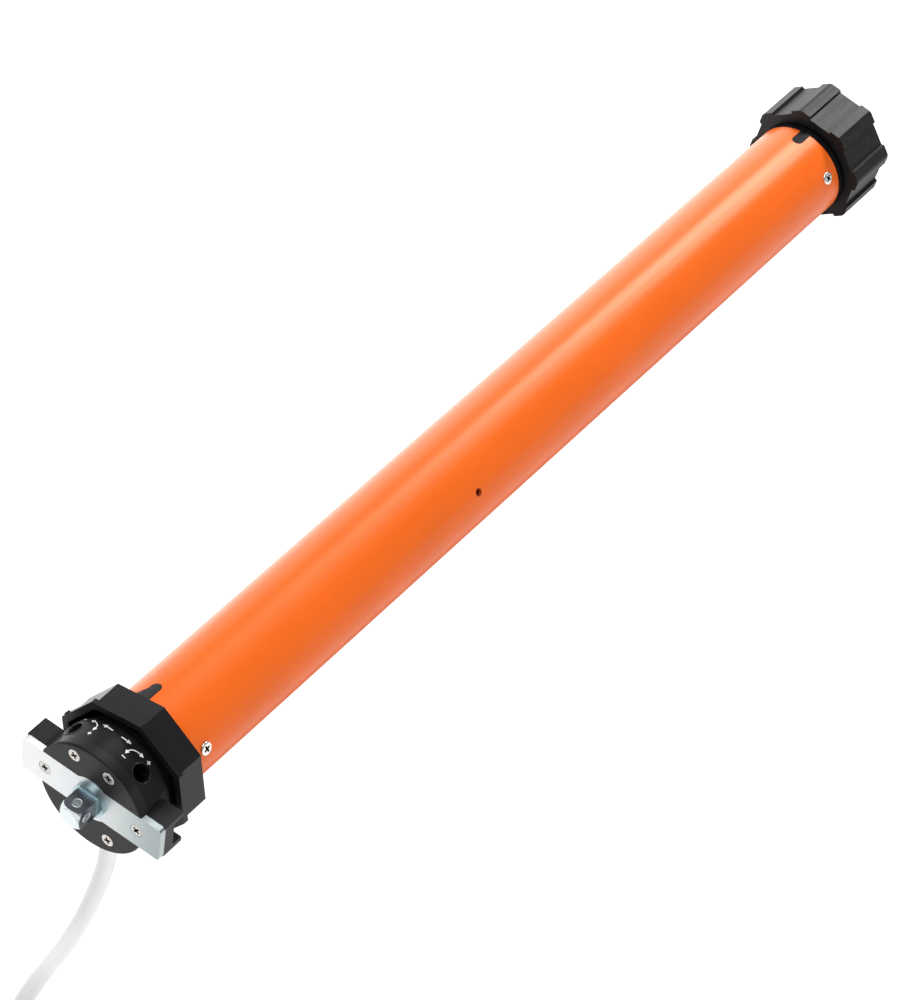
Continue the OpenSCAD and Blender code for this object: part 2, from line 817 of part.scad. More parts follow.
// Least distance between two turns, over all points at least half a loop apart
function least_turn_gap(path) = min([
    for (i = [0:len(path) - 1], j = [i + loop_steps / 2:1:len(path) - 1]) norm(path[i] - path[j])
]) - cable_d;

module cable_coil() {
    path = coil_path();
    echo(least_gap_between_turns = least_turn_gap(path));
    color("white") swept_tube(path, cable_d / 2, coil_sides, [0, 0, 1]);
}

// Tie round both layers of the coil
module cable_tie() {
    r_out = coil_r0 + cable_d / 2 + tie_gap;
    r_in = coil_radius(layer_steps) - cable_d / 2 - tie_gap;
    height = 2 * cable_d + coil_gap + 2 * tie_gap;
    color("black")
    translate([coil_centre[0], coil_centre[1], coil_centre[2] - cable_d / 2 - tie_gap])
    rotate(coil_angle(tie_steps))
    rotate([90, 0, 0]) linear_extrude(tie_w, center = true) difference() {
        translate([r_in - tie_t, -tie_t]) square([r_out - r_in + 2 * tie_t, height + 2 * tie_t]);
        translate([r_in, 0]) square([r_out - r_in, height]);
    }
}

// Four stripped cores that go on round the coil from the sheath's end
module cable_cores() {
    spread = core_d * 0.62;
    lead = 6;
    color("saddlebrown")
    for (u = [-1, 1], w = [-1, 1]) {
        side = u * spread * [-coil_tail_run[1], coil_tail_run[0], 0];
        rise = w * spread * [0, 0, 1];
        path = [
            coil_end + seam * coil_tail_run + side + rise,
            coil_end + lead * coil_tail_run + side + rise,
            for (i = [2:core_len_steps]) let (
                a = coil_angle(coil_steps + i),
                r = coil_r0 + cable_d / 4 + u * spread * (1 + 0.2 * i)
            ) [coil_centre[0] + r * cos(a), coil_centre[1] + r * sin(a), coil_end[2] + w * spread]
        ];
        swept_tube(path, core_d / 2, core_sides, [0, 0, 1]);
    }
}

// Black octagonal crown that the roller tube turns: skirt with a stop rim, web, ribs, sleeve with teeth
module crown() {
    skirt_af = crown_af - 2 * crown_wall;
    web_x0 = crown_x1 - crown_web_t;
    bearing_x0 = crown_gear_x0 + crown_gear_w + 0.4;
    rib_x0 = crown_gear_x0 + 3;
    color("dimgray")
    difference() {
        union() {
            along_x(crown_x0) linear_extrude(crown_len) rotate(crown_phase) difference() {
                octagon(crown_af);
                octagon(skirt_af);
            }
            along_x(crown_x0) linear_extrude(crown_rim_t) rotate(crown_phase) difference() {
                octagon(crown_af + 2 * crown_rim_out);
                octagon(skirt_af);
            }
            along_x(web_x0) linear_extrude(crown_web_t) rotate(crown_phase) octagon(skirt_af + over);
            disc(sleeve_r, crown_gear_x0, crown_x1);
            along_x(rib_x0) linear_extrude(web_x0 + over - rib_x0) rotate(crown_phase + 22.5) intersection() {
                for (a = [0:45:315])
                    rotate(a) translate([0, -crown_rib_t / 2]) square([crown_af, crown_rib_t]);
                rotate(22.5) octagon(skirt_af + over);
            }
        }
        disc(neck_r + run_fit, bearing_x0 - over, crown_x1 + over);
        along_x(crown_gear_x0 - over) linear_extrude(crown_gear_w + over) rotate(90)
            gear_hole(crown_teeth, limit_module, limit_backlash, limit_add, limit_add + 0.25);
        disc(neck_r + tooth_gap, crown_gear_x0 - over, bearing_x0);
    }
}

// Pinion between the crown and the idler
module limit_pinion() {
    color("ivory")
    translate([0, 0, pinion_centre])
    difference() {
        union() {
            along_x(pinion_x0) linear_extrude(pinion_w) rotate(90)
                gear(pinion_teeth, limit_module, limit_backlash, limit_add, limit_add + 0.25);
            along_x(pinion_x0) linear_extrude(pinion_w + fine_w + 1) rotate(-90) fine_pinion();
            disc(axle_r + 1.2, bulkhead_x1 + end_play, pinion_x0 + over);
        }
        disc(axle_r + run_fit, bulkhead_x1, tube_x0);
    }
}

module fine_pinion() {
    gear(fine_pinion_teeth, fine_module, fine_backlash, fine_pinion_add, wheel_add + 0.25);
}

module fine_wheel(teeth) {
    gear(teeth, fine_module, fine_backlash, wheel_add, fine_pinion_add + 0.25);
}

module limit_idler() {
    color("ivory")
    difference() {
        union() {
            along_x(idler_wheel_x0) linear_extrude(fine_w) rotate(90 + 180 / fine_wheel_teeth)
                fine_wheel(fine_wheel_teeth);
            along_x(idler_wheel_x0) linear_extrude(2 * fine_w + 1.2) fine_pinion();
            disc(axle_r + 0.8, idler_wheel_x0 + 2 * fine_w + 1, tube_x0 - end_play);
        }
        disc(axle_r + run_fit, idler_wheel_x0 - over, tube_x0);
    }
}

// Toothed cam that presses a limit switch; side is +1 or -1 along Y
module limit_cam(side) {
    color("ivory")
    translate([0, side * cam_centre, 0])
    difference() {
        union() {
            along_x(cam_wheel_x0) linear_extrude(fine_w)
                rotate((side > 0 ? 180 : 0) + 180 / cam_teeth) fine_wheel(cam_teeth);
            disc(cam_base_r, cam_x0, cam_x0 + cam_w);
            along_x(cam_x0) linear_extrude(cam_w) rotate(90) intersection() {
                circle(cam_lobe_r);
                polygon([
                    [0, 0],
                    for (a = [-1, 1]) 2 * cam_lobe_r * [cos(a * cam_lobe_angle), sin(a * cam_lobe_angle)]
                ]);
            }
            disc(axle_r + 1.2, cam_wheel_x0, tube_x0 - end_play);
        }
        disc(axle_r + run_fit, cam_wheel_x0 - over, tube_x0);
    }
}

module limit_cam_up() {
    limit_cam(1);
}

module limit_cam_down() {
    limit_cam(-1);
}

// Two small switches on the adapter plate, each with a well for its plunger
module limit_switches() {
    well = plunger_side + 2 * slip_fit;
    color("crimson")
    for (s = [-1, 1]) scale([1, s, 1])
    difference() {
        translate([switch_x0, switch_y0, switch_top_z - switch_h])
            cube([tube_x0 - switch_x0, switch_y1 - switch_y0, switch_h]);
        well_z0 = switch_top_z - plunger_depth - plunger_travel;
        translate([plunger_x0() - slip_fit, plunger_y - well / 2, well_z0])
            cube([well, well, switch_h]);
    }
}

function plunger_x0() = cam_x0 + (cam_w - plunger_side) / 2;

module plunger(side) {
    z0 = switch_top_z - plunger_depth + 0.2;
    color("white")
    translate([plunger_x0(), side * plunger_y - plunger_side / 2, z0])
        cube([plunger_side, plunger_side, plunger_top_z - z0]);
}

module plunger_up() {
    plunger(1);
}

module plunger_down() {
    plunger(-1);
}

// Limit adjuster with a hexagon socket and a fluted rim, sunk in its hole in the drum
module adjuster(side) {
    color("black")
    radial(side * limit_angle + limit_turn, limit_x)
    difference() {
        translate([0, 0, adjuster_top_r - adjuster_len])
            cylinder(d = limit_hole_d - 2 * run_fit, h = adjuster_len);
        translate([0, 0, adjuster_top_r - adjuster_len / 2])
            cylinder(d = adjuster_socket_af / cos(30), h = adjuster_len, $fn = 6);
        for (a = [0:60:120])
            rotate(a) translate([-limit_hole_d, -flute_w / 2, adjuster_top_r - flute_depth])
                cube([2 * limit_hole_d, flute_w, adjuster_len]);
    }
}

module adjuster_up() {
    adjuster(-1);
}

module adjuster_down() {
    adjuster(1);
}

// Running capacitor with two tabs
module capacitor() {
    x0 = adapter_x1 + 4;
    color("whitesmoke") {
        disc(cap_d / 2, x0, x0 + cap_len);
        for (s = [-1, 1])
            translate([x0 + cap_len, s * 5 - 0.4, -3.2]) cube([7, 0.8, 6.4]);
    }
}

// Sleeve with three ribs that holds the capacitor in the tube
module capacitor_holder() {
    rib_in = cap_d / 2 + slip_fit;
    color("dimgray")
    along_x(adapter_x1) linear_extrude(cap_len + 8) {
        difference() {
            circle(seat_r);
            circle(seat_r - holder_wall);
        }
        for (a = [30, 150, 270])
            rotate(a) translate([rib_in, -cap_rib_t / 2])
                square([seat_r - holder_wall / 2 - rib_in, cap_rib_t]);
    }
}

// Steel pot of the brake magnet, with studs that guide the armature and carry the pot
module brake_housing() {
    color("slategray")
    difference() {
        union() {
            disc(pot_r, pot_x0, pot_x1);
            for (a = [0, 120, 240])
                radial(a, pot_x1 - over) translate([0, 0, stud_circle_r]) rotate([0, 90, 0])
                    cylinder(r = stud_r, h = rear_bell_x0 - pot_x1 + over);
        }
        sleeve(pot_cavity_r, pot_core_r, pot_x1 - brake_coil_len - 1, pot_x1 + end_play);
        disc(spring_r + spring_wire, pot_x1 - spring_len - spring_wire, pot_x1 + over);
        disc(shaft_d / 2 + 1, pot_x0 - over, pot_x1);
    }
}

module brake_coil() {
    color("peru")
    sleeve(pot_cavity_r - brake_coil_gap, pot_core_r + slip_fit,
        pot_x1 - brake_coil_len - 1, pot_x1 - 1);
}

// Spring that presses the armature on the brake disc
module brake_spring() {
    steps = 12;
    x0 = pot_x1 - spring_len - spring_wire / 2 + 0.1;
    pitch = (spring_len - spring_wire) / spring_turns;
    path = [
        for (i = [0:spring_turns * steps]) let (a = i * 360 / steps)
            [x0 + pitch * i / steps, spring_r * cos(a), spring_r * sin(a)]
    ];
    color("silver") swept_tube(path, spring_wire / 2, 6, [1, 0, 0]);
}

// Armature plate that slides on the three studs
module brake_armature() {
    color("slategray")
    difference() {
        disc(armature_r, armature_x1 - armature_t, armature_x1);
        disc(shaft_d / 2 + 1, armature_x1 - armature_t - over, armature_x1 + over);
        for (a = [0, 120, 240])
            radial(a, armature_x1 - armature_t - over) translate([0, 0, stud_circle_r]) rotate([0, 90, 0])
                cylinder(r = stud_r + slip_fit, h = armature_t + 2 * over);
    }
}

// Friction disc on the rotor shaft
module brake_disc() {
    color("darkslategray")
    along_x(armature_x1 + end_play) linear_extrude(brake_disc_t) difference() {
        circle(brake_disc_r);
        circle(shaft_d / 2 + slip_fit / 4);
    }
}

// Lamination stack with open winding slots
module stator_core() {
    color("slategray")
    along_x(stator_x0) linear_extrude(stator_len) difference() {
        circle(seat_r);
        circle(stator_bore_r);
        for (i = [0:slots - 1]) rotate(i * 360 / slots) {
            translate([slot_r0, -slot_w / 2]) square([slot_r1 - slot_r0, slot_w]);
            translate([0, -slot_mouth_w / 2]) square([slot_r0 + over, slot_mouth_w]);
        }
    }
}

// Copper windings: bars in the slots and a ring of end turns on both sides
module windings() {
    color("peru") {
        along_x(stator_x0 - over) linear_extrude(stator_len + 2 * over)
            for (i = [0:slots - 1]) rotate(i * 360 / slots)
                translate([slot_r0 + slot_liner, -slot_w / 2 + slot_liner])
                    square([slot_r1 - slot_r0 - 2 * slot_liner, slot_w - 2 * slot_liner]);
        for (x = [stator_x0 - end_turn_len, stator_x1 + end_play])
            sleeve(slot_r1 + end_turn_step, slot_r0 - end_turn_step, x, x + end_turn_len - end_play);
    }
}

// End bell: skirt on the stator, plate and bearing boss; dir points from the plate to the stator
module bell(plate_x0, skirt_x1, dir) {
    plate_x1 = plate_x0 + bell_plate_t;
    boss_x1 = plate_x1 + bearing_w - bell_plate_t / 2;
    translate([dir < 0 ? skirt_x1 : 0, 0, 0]) mirror([dir < 0 ? 1 : 0, 0, 0])
    translate([dir < 0 ? -plate_x0 : 0, 0, 0])
    difference() {
        union() {
            disc(seat_r, plate_x0, plate_x1);
            sleeve(seat_r, seat_r - bell_wall, plate_x0, skirt_x1);
            disc(bearing_d / 2 + bearing_wall, plate_x0, boss_x1);
        }
        disc(shaft_d / 2 + 0.5, plate_x0 - over, skirt_x1);
        disc(bearing_d / 2 + slip_fit / 4, boss_x1 - bearing_w, skirt_x1);
    }
}

module rear_bell() {
    color("silver") bell(rear_bell_x0, stator_x0, 1);
}

module front_bell() {
    color("silver") bell(stator_x1, ring_x0, -1);
}

// Places of the two bearings' outer faces, toward the brake and toward the gearbox
function bearing_seat_depth() = bell_plate_t + bearing_w - bell_plate_t / 2;

module bearings() {
    rear_x1 = rear_bell_x0 + bearing_seat_depth();
    front_x0 = ring_x0 - bearing_seat_depth();
    color("lightsteelblue") {
        sleeve(bearing_d / 2, shaft_d / 2 + run_fit, rear_x1 - bearing_w, rear_x1);
        sleeve(bearing_d / 2, shaft_d / 2 + run_fit, front_x0, front_x0 + bearing_w);
    }
}

// Rotor shaft from the brake to the first sun gear
module rotor_shaft() {
    color("silver") {
        disc(shaft_d / 2, pot_x1 - pot_len / 2, ring_x0);
        disc(sun_bore_r, ring_x0 - over, stage_x0 + gear_w);
    }
}

module rotor_core() {
    color("slategray")
    along_x(rotor_x0) linear_extrude(rotor_x1 - rotor_x0) difference() {
        circle(rotor_d / 2);
        circle(shaft_d / 2 + slip_fit / 4);
        for (i = [0:cage_bars - 1])
            rotate(i * 360 / cage_bars) translate([cage_r, 0]) circle(cage_bar_r, $fn = 24);
    }
}

// Cast cage: bars through the rotor core and a ring at each end
module rotor_cage() {
    bar_r = cage_bar_r - slip_fit / 4;
    color("lightgray") {
        along_x(rotor_x0 - cage_ring_t / 2) linear_extrude(rotor_x1 - rotor_x0 + cage_ring_t)
            for (i = [0:cage_bars - 1])
                rotate(i * 360 / cage_bars) translate([cage_r, 0]) circle(bar_r, $fn = 24);
        for (x = [rotor_x0 - cage_ring_t - slip_fit / 4, rotor_x1 + slip_fit / 4])
            sleeve(rotor_d / 2 - 0.3, cage_r - 1.6, x, x + cage_ring_t);
    }
}

// Toothed ring round all three stages, an inner tooth on +Y
module ring_gear() {
    color("slategray")
    along_x(ring_x0) linear_extrude(ring_len) difference() {
        circle(seat_r);
        rotate(180 / ring_teeth) gear_hole(ring_teeth, gear_module, backlash, gear_add, gear_ded);
    }
}

function stage_x(stage) = stage_x0 + (stage - 1) * stage_pitch;

module sun_teeth_shape() {
    gear(sun_teeth, gear_module, backlash, gear_add, gear_ded);
}

module sun_1() {
    color("goldenrod")
    along_x(stage_x(1)) linear_extrude(gear_w) difference() {
        sun_teeth_shape();
        circle(sun_bore_r + slip_fit / 4);
    }
}

// Planet gear of one stage; place 0, 1 or 2 counts round the axis from +Y
module planet(stage, place) {
    color("goldenrod")
    along_x(stage_x(stage)) linear_extrude(gear_w)
        rotate(place * 120) translate([planet_centre, 0]) difference() {
            rotate(180 / planet_teeth) gear(planet_teeth, gear_module, backlash, gear_add, gear_ded);
            circle(planet_pin_r + run_fit);
        }
}

// Carrier plate with its three pins
module carrier_plate(stage) {
    x0 = stage_x(stage);
    disc(carrier_r, x0 + gear_w + end_play, x0 + gear_w + end_play + carrier_t);
    for (i = [0:2])
        along_x(x0) rotate(i * 120) translate([planet_centre, 0])
            cylinder(r = planet_pin_r, h = gear_w + end_play + over);
}

// Carrier with the next stage's sun gear on it
module carrier_with_sun(stage) {
    sun_x0 = stage_x(stage) + gear_w + end_play + carrier_t;
    color("silver") {
        carrier_plate(stage);
        along_x(sun_x0 - over) linear_extrude(stage_x(stage + 1) + gear_w - sun_x0 + over) sun_teeth_shape();
    }
}

module carrier_1() {
    carrier_with_sun(1);
}

module carrier_2() {
    carrier_with_sun(2);
}

// Output shaft: last carrier, journal and square end for the drive wheel
module output_shaft() {
    journal_x0 = stage_x(3) + gear_w + end_play + carrier_t;
    square_x0 = wheel_x0 - 0.6;
    square_x1 = wheel_x0 + hub_len - 0.5;
    color("silver")
    difference() {
        union() {
            carrier_plate(3);
            disc(output_d / 2 + 2, journal_x0 - over, gearbox_x1 - end_play);
            disc(output_d / 2, journal_x0, square_x0);
            translate([square_x0 - over, -drive_side / 2, -drive_side / 2])
                cube([square_x1 - square_x0 + over, drive_side, drive_side]);
        }
        disc(retainer_shank_r + slip_fit / 4, wheel_x0 + hub_len - retainer_len - over, square_x1 + over);
    }
}

module output_bush() {
    color("goldenrod") sleeve(bush_r, output_d / 2 + run_fit, gearbox_x1, tube_x1 + flange_t);
}

// Black end of the gearbox: spigot, flange against the tube's end and key in the tube's slot
module gearbox_end() {
    color("dimgray")
    difference() {
        union() {
            disc(seat_r, gearbox_x1, tube_x1);
            disc(tube_r, tube_x1, tube_x1 + flange_t);
            intersection() {
                radial(far_key_angle, tube_x1) key_shape(key_w - 2 * slip_fit, far_key_len - slip_fit, -1);
                disc(tube_r, gearbox_x1, tube_x1);
            }
        }
        disc(bush_r + slip_fit / 4, gearbox_x1 - over, tube_x1 + flange_t + over);
        radial(far_screw_angle, tube_screw_x_far)
            translate([0, 0, tube_r - tube_screw_len - 1]) cylinder(d = screw_shank_d, h = tube_d);
    }
}

// Outline of the drive wheel: an octagon with a raised ridge on each corner
module wheel_outline() {
    ridge_af = ridge_d * cos(22.5) + 0.6;
    octagon(wheel_af);
    intersection() {
        octagon(ridge_af);
        circle(d = ridge_d);
        for (a = [22.5:45:360])
            rotate(a) translate([0, -ridge_w / 2]) square([ridge_d, ridge_w]);
    }
}

// Black drive wheel: ridged rim, web, ribs and a hub with a square hole
module drive_wheel() {
    rim_af = wheel_af - 2 * wheel_wall;
    near_groove = 1.5;
    color("dimgray")
    difference() {
        union() {
            along_x(wheel_x0) linear_extrude(wheel_len) rotate(wheel_phase + 22.5 + 45) difference() {
                wheel_outline();
                octagon(rim_af);
            }
            along_x(wheel_x0) linear_extrude(web_t + near_groove) rotate(wheel_phase + 67.5)
                octagon(rim_af + over);
            along_x(wheel_x0) linear_extrude(wheel_len - 3) rotate(wheel_phase + 67.5) intersection() {
                for (a = [22.5:45:360])
                    rotate(a) translate([0, -rib_t / 2]) square([wheel_af, rib_t]);
                octagon(rim_af + over);
            }
            disc(hub_r, wheel_x0, wheel_x0 + hub_len);
        }
        sleeve(rim_af / 2 - 1, hub_r + 2, wheel_x0 - over, wheel_x0 + near_groove);
        disc(hub_r, wheel_x0 + hub_len, wheel_x1);
        translate([wheel_x0 - over, -drive_side / 2 - slip_fit, -drive_side / 2 - slip_fit])
            cube([wheel_len, drive_side + 2 * slip_fit, drive_side + 2 * slip_fit]);
    }
}

// Washer and screw that keep the wheel on the square shaft
module wheel_retainer() {
    x0 = wheel_x0 + hub_len;
    color("silver") {
        disc(washer_r, x0, x0 + washer_t);
        disc(retainer_head_r, x0 + washer_t - slip_fit, x0 + washer_t + retainer_head_h);
        disc(retainer_shank_r, x0 - retainer_len, x0 + over);
    }
}

tube();
head_housing();
head_cover();
mounting_plate();
square_pin();
plate_screws();
cover_screws();
tube_screws();
tube_adapter();
terminal_block();
cable_grommet();
cable();
cable_coil();
cable_tie();
cable_cores();
crown();
limit_axles();
limit_pinion();
limit_idler();
limit_cam_up();
limit_cam_down();
limit_switches();
plunger_up();
plunger_down();
adjuster_up();
adjuster_down();
capacitor();
capacitor_holder();
brake_housing();
brake_coil();
brake_spring();
brake_armature();
brake_disc();
stator_core();
windings();
rear_bell();
front_bell();
bearings();
rotor_shaft();
rotor_core();
rotor_cage();
ring_gear();
sun_1();
planet(1, 0);  // planet_1a
planet(1, 1);  // planet_1b
planet(1, 2);  // planet_1c
carrier_1();
planet(2, 0);  // planet_2a
planet(2, 1);  // planet_2b
planet(2, 2);  // planet_2c
carrier_2();
planet(3, 0);  // planet_3a
planet(3, 1);  // planet_3b
planet(3, 2);  // planet_3c
output_shaft();
output_bush();
gearbox_end();
drive_wheel();
wheel_retainer();
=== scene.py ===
"""Looks of a tubular roller shutter motor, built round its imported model."""
import json
import math

import bmesh
import bpy
from mathutils import Matrix, Vector


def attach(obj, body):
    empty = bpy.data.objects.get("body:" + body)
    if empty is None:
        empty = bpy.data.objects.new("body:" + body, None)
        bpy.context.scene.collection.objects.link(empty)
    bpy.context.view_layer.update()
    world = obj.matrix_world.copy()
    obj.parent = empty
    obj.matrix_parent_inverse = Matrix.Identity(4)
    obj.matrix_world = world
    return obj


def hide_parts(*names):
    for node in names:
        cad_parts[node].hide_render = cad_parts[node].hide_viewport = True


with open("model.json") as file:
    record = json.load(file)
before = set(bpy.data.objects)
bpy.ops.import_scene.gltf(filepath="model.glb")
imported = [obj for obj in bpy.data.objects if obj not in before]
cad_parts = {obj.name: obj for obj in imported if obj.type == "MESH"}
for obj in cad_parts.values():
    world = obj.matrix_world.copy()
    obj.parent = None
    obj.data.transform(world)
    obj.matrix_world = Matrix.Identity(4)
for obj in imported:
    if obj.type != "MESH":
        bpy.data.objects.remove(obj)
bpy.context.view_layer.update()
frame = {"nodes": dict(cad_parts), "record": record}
nodes = frame["nodes"]
BODY = "motor_body"
scene = bpy.context.scene
scene.view_settings.view_transform = "Standard"

# Sizes that several pieces share, in millimetres as in the part's source; MM makes them metres
MM = 0.001
TUBE_R = 23.0
DRUM_X = (5.0, 17.5)
DRUM_R = (27.5, 27.0)
DRUM_MEAN_R = 27.25
PIN_HALF = 5.0
PIN_HOLE_X = -8.2
PIN_HOLE_R = 2.0
CABLE_D = 7.5
FLOOR_Z = -82.0

# Camera
CAMERA_AT = Vector((-0.82579, -0.63436, 1.30377))
CAMERA_RIGHT = Vector((0.602, -0.791, 0.107)).normalized()
CAMERA_VIEW = Vector((0.589, 0.350, -0.728)).normalized()
LENS_MM = 149.2
SENSOR_MM = 36.0


def make_camera():
    data = bpy.data.cameras.new("camera")
    data.lens = LENS_MM
    data.sensor_width = SENSOR_MM
    data.clip_start = 0.05
    data.clip_end = 20.0
    cam = bpy.data.objects.new("camera", data)
    back = -CAMERA_VIEW
    right = (CAMERA_RIGHT - back * CAMERA_RIGHT.dot(back)).normalized()
    up = back.cross(right)
    turn = Matrix((right, up, back)).transposed()
    cam.matrix_world = Matrix.Translation(CAMERA_AT) @ turn.to_4x4()
    scene.collection.objects.link(cam)
    scene.camera = cam


make_camera()


# Small helpers
def add_object(name, data):
    obj = bpy.data.objects.new(name, data)
    scene.collection.objects.link(obj)
    return obj


def mesh_object(name, bm, smooth_angle=None):
    """Object from a finished bmesh, smooth up to an angle in degrees."""
    data = bpy.data.meshes.new(name)
    bmesh.ops.recalc_face_normals(bm, faces=bm.faces)
    bm.to_mesh(data)
    bm.free()
    obj = add_object(name, data)
    if smooth_angle is not None:
        data.polygons.foreach_set("use_smooth", [True] * len(data.polygons))
        data.set_sharp_from_angle(angle=math.radians(smooth_angle))
    return obj


def tube_curve(name, path, radius_mm, material, resolution=4, closed=False):
    """Round bar along a path in millimetres."""
    data = bpy.data.curves.new(name, "CURVE")
    data.dimensions = "3D"
    data.bevel_depth = radius_mm * MM
    data.bevel_resolution = resolution
    data.use_fill_caps = True
    line = data.splines.new("POLY")
    line.points.add(len(path) - 1)
    for point, p in zip(line.points, path):
        point.co = (*(p * MM), 1.0)
    line.use_smooth = True
    line.use_cyclic_u = closed
    data.materials.append(material)
    return add_object(name, data)


def dress(obj, slot, *replaced, body=BODY):
    """Puts a piece on its body, in place of CAD nodes if any; its slot argument is not used."""
    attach(obj, body)
    if replaced:
        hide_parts(*replaced)


def bevel(obj, width_mm, segments):
    mod = obj.modifiers.new("edge", "BEVEL")
    mod.width = width_mm * MM
    mod.segments = segments
    return mod


def circle(sides):
    """Angles of a circle's points."""
    return [2 * math.pi * i / sides for i in range(sides)]


def round_point(radius, x, angle_deg):
    """Point round the motor's axis, in millimetres: angle from the top toward -Y."""
    a = math.radians(angle_deg)
    return Vector((x, -radius * math.sin(a), radius * math.cos(a)))


def drum_radius(x):
    """The drum tapers a little toward the crown."""
    t = (x - DRUM_X[0]) / (DRUM_X[1] - DRUM_X[0])
    return DRUM_R[0] + (DRUM_R[1] - DRUM_R[0]) * t


def turned(bm, place, profile, sides):
    """Rings of a turned form: profile is (radius, height) pairs round the place's Z axis."""
    return [[bm.verts.new(place @ Vector((r * math.cos(a), r * math.sin(a), z))) for a in circle(sides)]
            for r, z in profile]


def bridge(bm, rings):
    """Quads between neighbouring rings."""
    faces = []
    for a, b in zip(rings, rings[1:]):
        for i in range(len(a)):
            j = (i + 1) % len(a)
            faces.append(bm.faces.new((a[i], a[j], b[j], b[i])))
    return faces


# Materials. Noise scales are per metre: clouds, patches and grain as on moulded plastic
CLOUD = 60.0
PATCH = 220.0
GRAIN = 2600.0


class Nodes:
    """Shader built round one Principled node."""

    def __init__(self, name):
        self.mat = bpy.data.materials.new(name)
        self.mat.use_nodes = True
        self.tree = self.mat.node_tree
        self.shader = self.tree.nodes["Principled BSDF"]
        self.place = self.tree.nodes.new("ShaderNodeTexCoord")
        self.coords = self.place.outputs["Object"]

    def set(self, **values):
        """Constants on the shader's own sockets; _ stands for a space."""
        for key, value in values.items():
            self.shader.inputs[key.replace("_", " ")].default_value = value

    def feed(self, key, value):
        self.tree.links.new(value, self.shader.inputs[key])

    def mapped(self, **values):
        """Object coordinates, moved and scaled."""
        node = self.tree.nodes.new("ShaderNodeMapping")
        for key, value in values.items():
            node.inputs[key].default_value = value
        self.tree.links.new(self.coords, node.inputs["Vector"])
        return node.outputs["Vector"]

    def noise(self, scale, detail=4.0, rough=0.55, stretch=None):
        node = self.tree.nodes.new("ShaderNodeTexNoise")
        for key, value in (("Scale", scale), ("Detail", detail), ("Roughness", rough)):
            node.inputs[key].default_value = value
        source = self.mapped(Scale=stretch) if stretch else self.coords
        self.tree.links.new(source, node.inputs["Vector"])
        return node.outputs["Fac"]

    def span(self, value, start, end, low=0.0, high=1.0):
        """Value rescaled from start..end to low..high, held at both ends."""
        node = self.tree.nodes.new("ShaderNodeMapRange")
        for key, number in (("From Min", start), ("From Max", end), ("To Min", low), ("To Max", high)):
            node.inputs[key].default_value = number
        self.tree.links.new(value, node.inputs["Value"])
        return node.outputs["Result"]

    def maths(self, operation, a, b):
        node = self.tree.nodes.new("ShaderNodeMath")
        node.operation = operation
        for socket, value in zip(node.inputs, (a, b)):
            if isinstance(value, float):
                socket.default_value = value
            else:
                self.tree.links.new(value, socket)
        return node.outputs["Value"]

    def axis(self, name, source="Object"):
        node = self.tree.nodes.new("ShaderNodeSeparateXYZ")
        self.tree.links.new(self.place.outputs[source], node.inputs["Vector"])
        return node.outputs[name]

    def away(self, shift, keep):
        """Distance from a line: shift moves it to the origin, keep drops its own direction."""
        node = self.tree.nodes.new("ShaderNodeVectorMath")
        node.operation = "LENGTH"
        self.tree.links.new(self.mapped(Location=shift, Scale=keep), node.inputs[0])
        return node.outputs["Value"]

    def colour(self, fac, stops):
        """Base colour from a ramp; its two ends come first in stops."""
        node = self.tree.nodes.new("ShaderNodeValToRGB")
        elements = node.color_ramp.elements
        for i, (at, colour) in enumerate(stops):
            element = elements[i] if i < 2 else elements.new(at)
            element.position = at
            element.color = (*colour, 1.0)
        self.tree.links.new(fac, node.inputs["Fac"])
        self.feed("Base Color", node.outputs["Color"])

    def roughness(self, fac, low, high):
        self.feed("Roughness", self.span(fac, 0.0, 1.0, low, high))

    def bump(self, fac, strength, distance_mm):
        node = self.tree.nodes.new("ShaderNodeBump")
        node.inputs["Strength"].default_value = strength
        node.inputs["Distance"].default_value = distance_mm * MM
        self.tree.links.new(fac, node.inputs["Height"])
        self.feed("Normal", node.outputs["Normal"])

    def grained(self, low, high, grain=GRAIN, strength=0.25):
        """Patchy gloss between two roughnesses over a fine moulded grain."""
        self.roughness(self.noise(PATCH, 3.0), low, high)
        self.bump(self.noise(grain, 2.0), strength, 0.03)


def shade(colour, k):
    return tuple(min(1.0, c * k) for c in colour)


def plastic(name, colour, rough, grain=GRAIN, strength=0.25, specular=0.5):
    n = Nodes(name)
    n.set(Specular_IOR_Level=specular)
    n.colour(n.noise(CLOUD, 5.0), [(0.3, shade(colour, 0.86)), (0.7, shade(colour, 1.16))])
    n.grained(rough - 0.05, rough + 0.07, grain, strength)
    return n.mat


def metal(name, colour, rough):
    n = Nodes(name)
    n.set(Metallic=1.0)
    n.colour(n.noise(90.0, 4.0), [(0.25, shade(colour, 0.88)), (0.75, shade(colour, 1.06))])
    n.roughness(n.noise(300.0, 3.0), rough - 0.05, rough + 0.08)
    n.bump(n.noise(900.0, 2.0), 0.1, 0.02)
    return n.mat


def plate_with_painted_shade():
    """Zinc plate with painted shade: its colour darkens from its left end to its right, where its
    reflections are dimmer.
    """
    n = Nodes("zinc_plate")
    n.set(Metallic=1.0)
    # Painted shade: this ramp along Y darkens the colour toward the plate's right end (-Y).
    painted_shade_along_y = n.span(n.axis("Y"), -0.033, 0.033)
    cloud = n.span(n.noise(70.0, 4.0), 0.2, 0.8, -0.05, 0.05)
    n.colour(n.maths("ADD", painted_shade_along_y, cloud), [
        (0.06, (0.40, 0.455, 0.46)), (0.97, (0.74, 0.75, 0.755)), (0.30, (0.575, 0.615, 0.615)),
        (0.52, (0.64, 0.665, 0.685))])
    n.roughness(n.noise(300.0, 3.0), 0.29, 0.42)
    n.bump(n.noise(900.0, 2.0), 0.1, 0.02)
    return n.mat


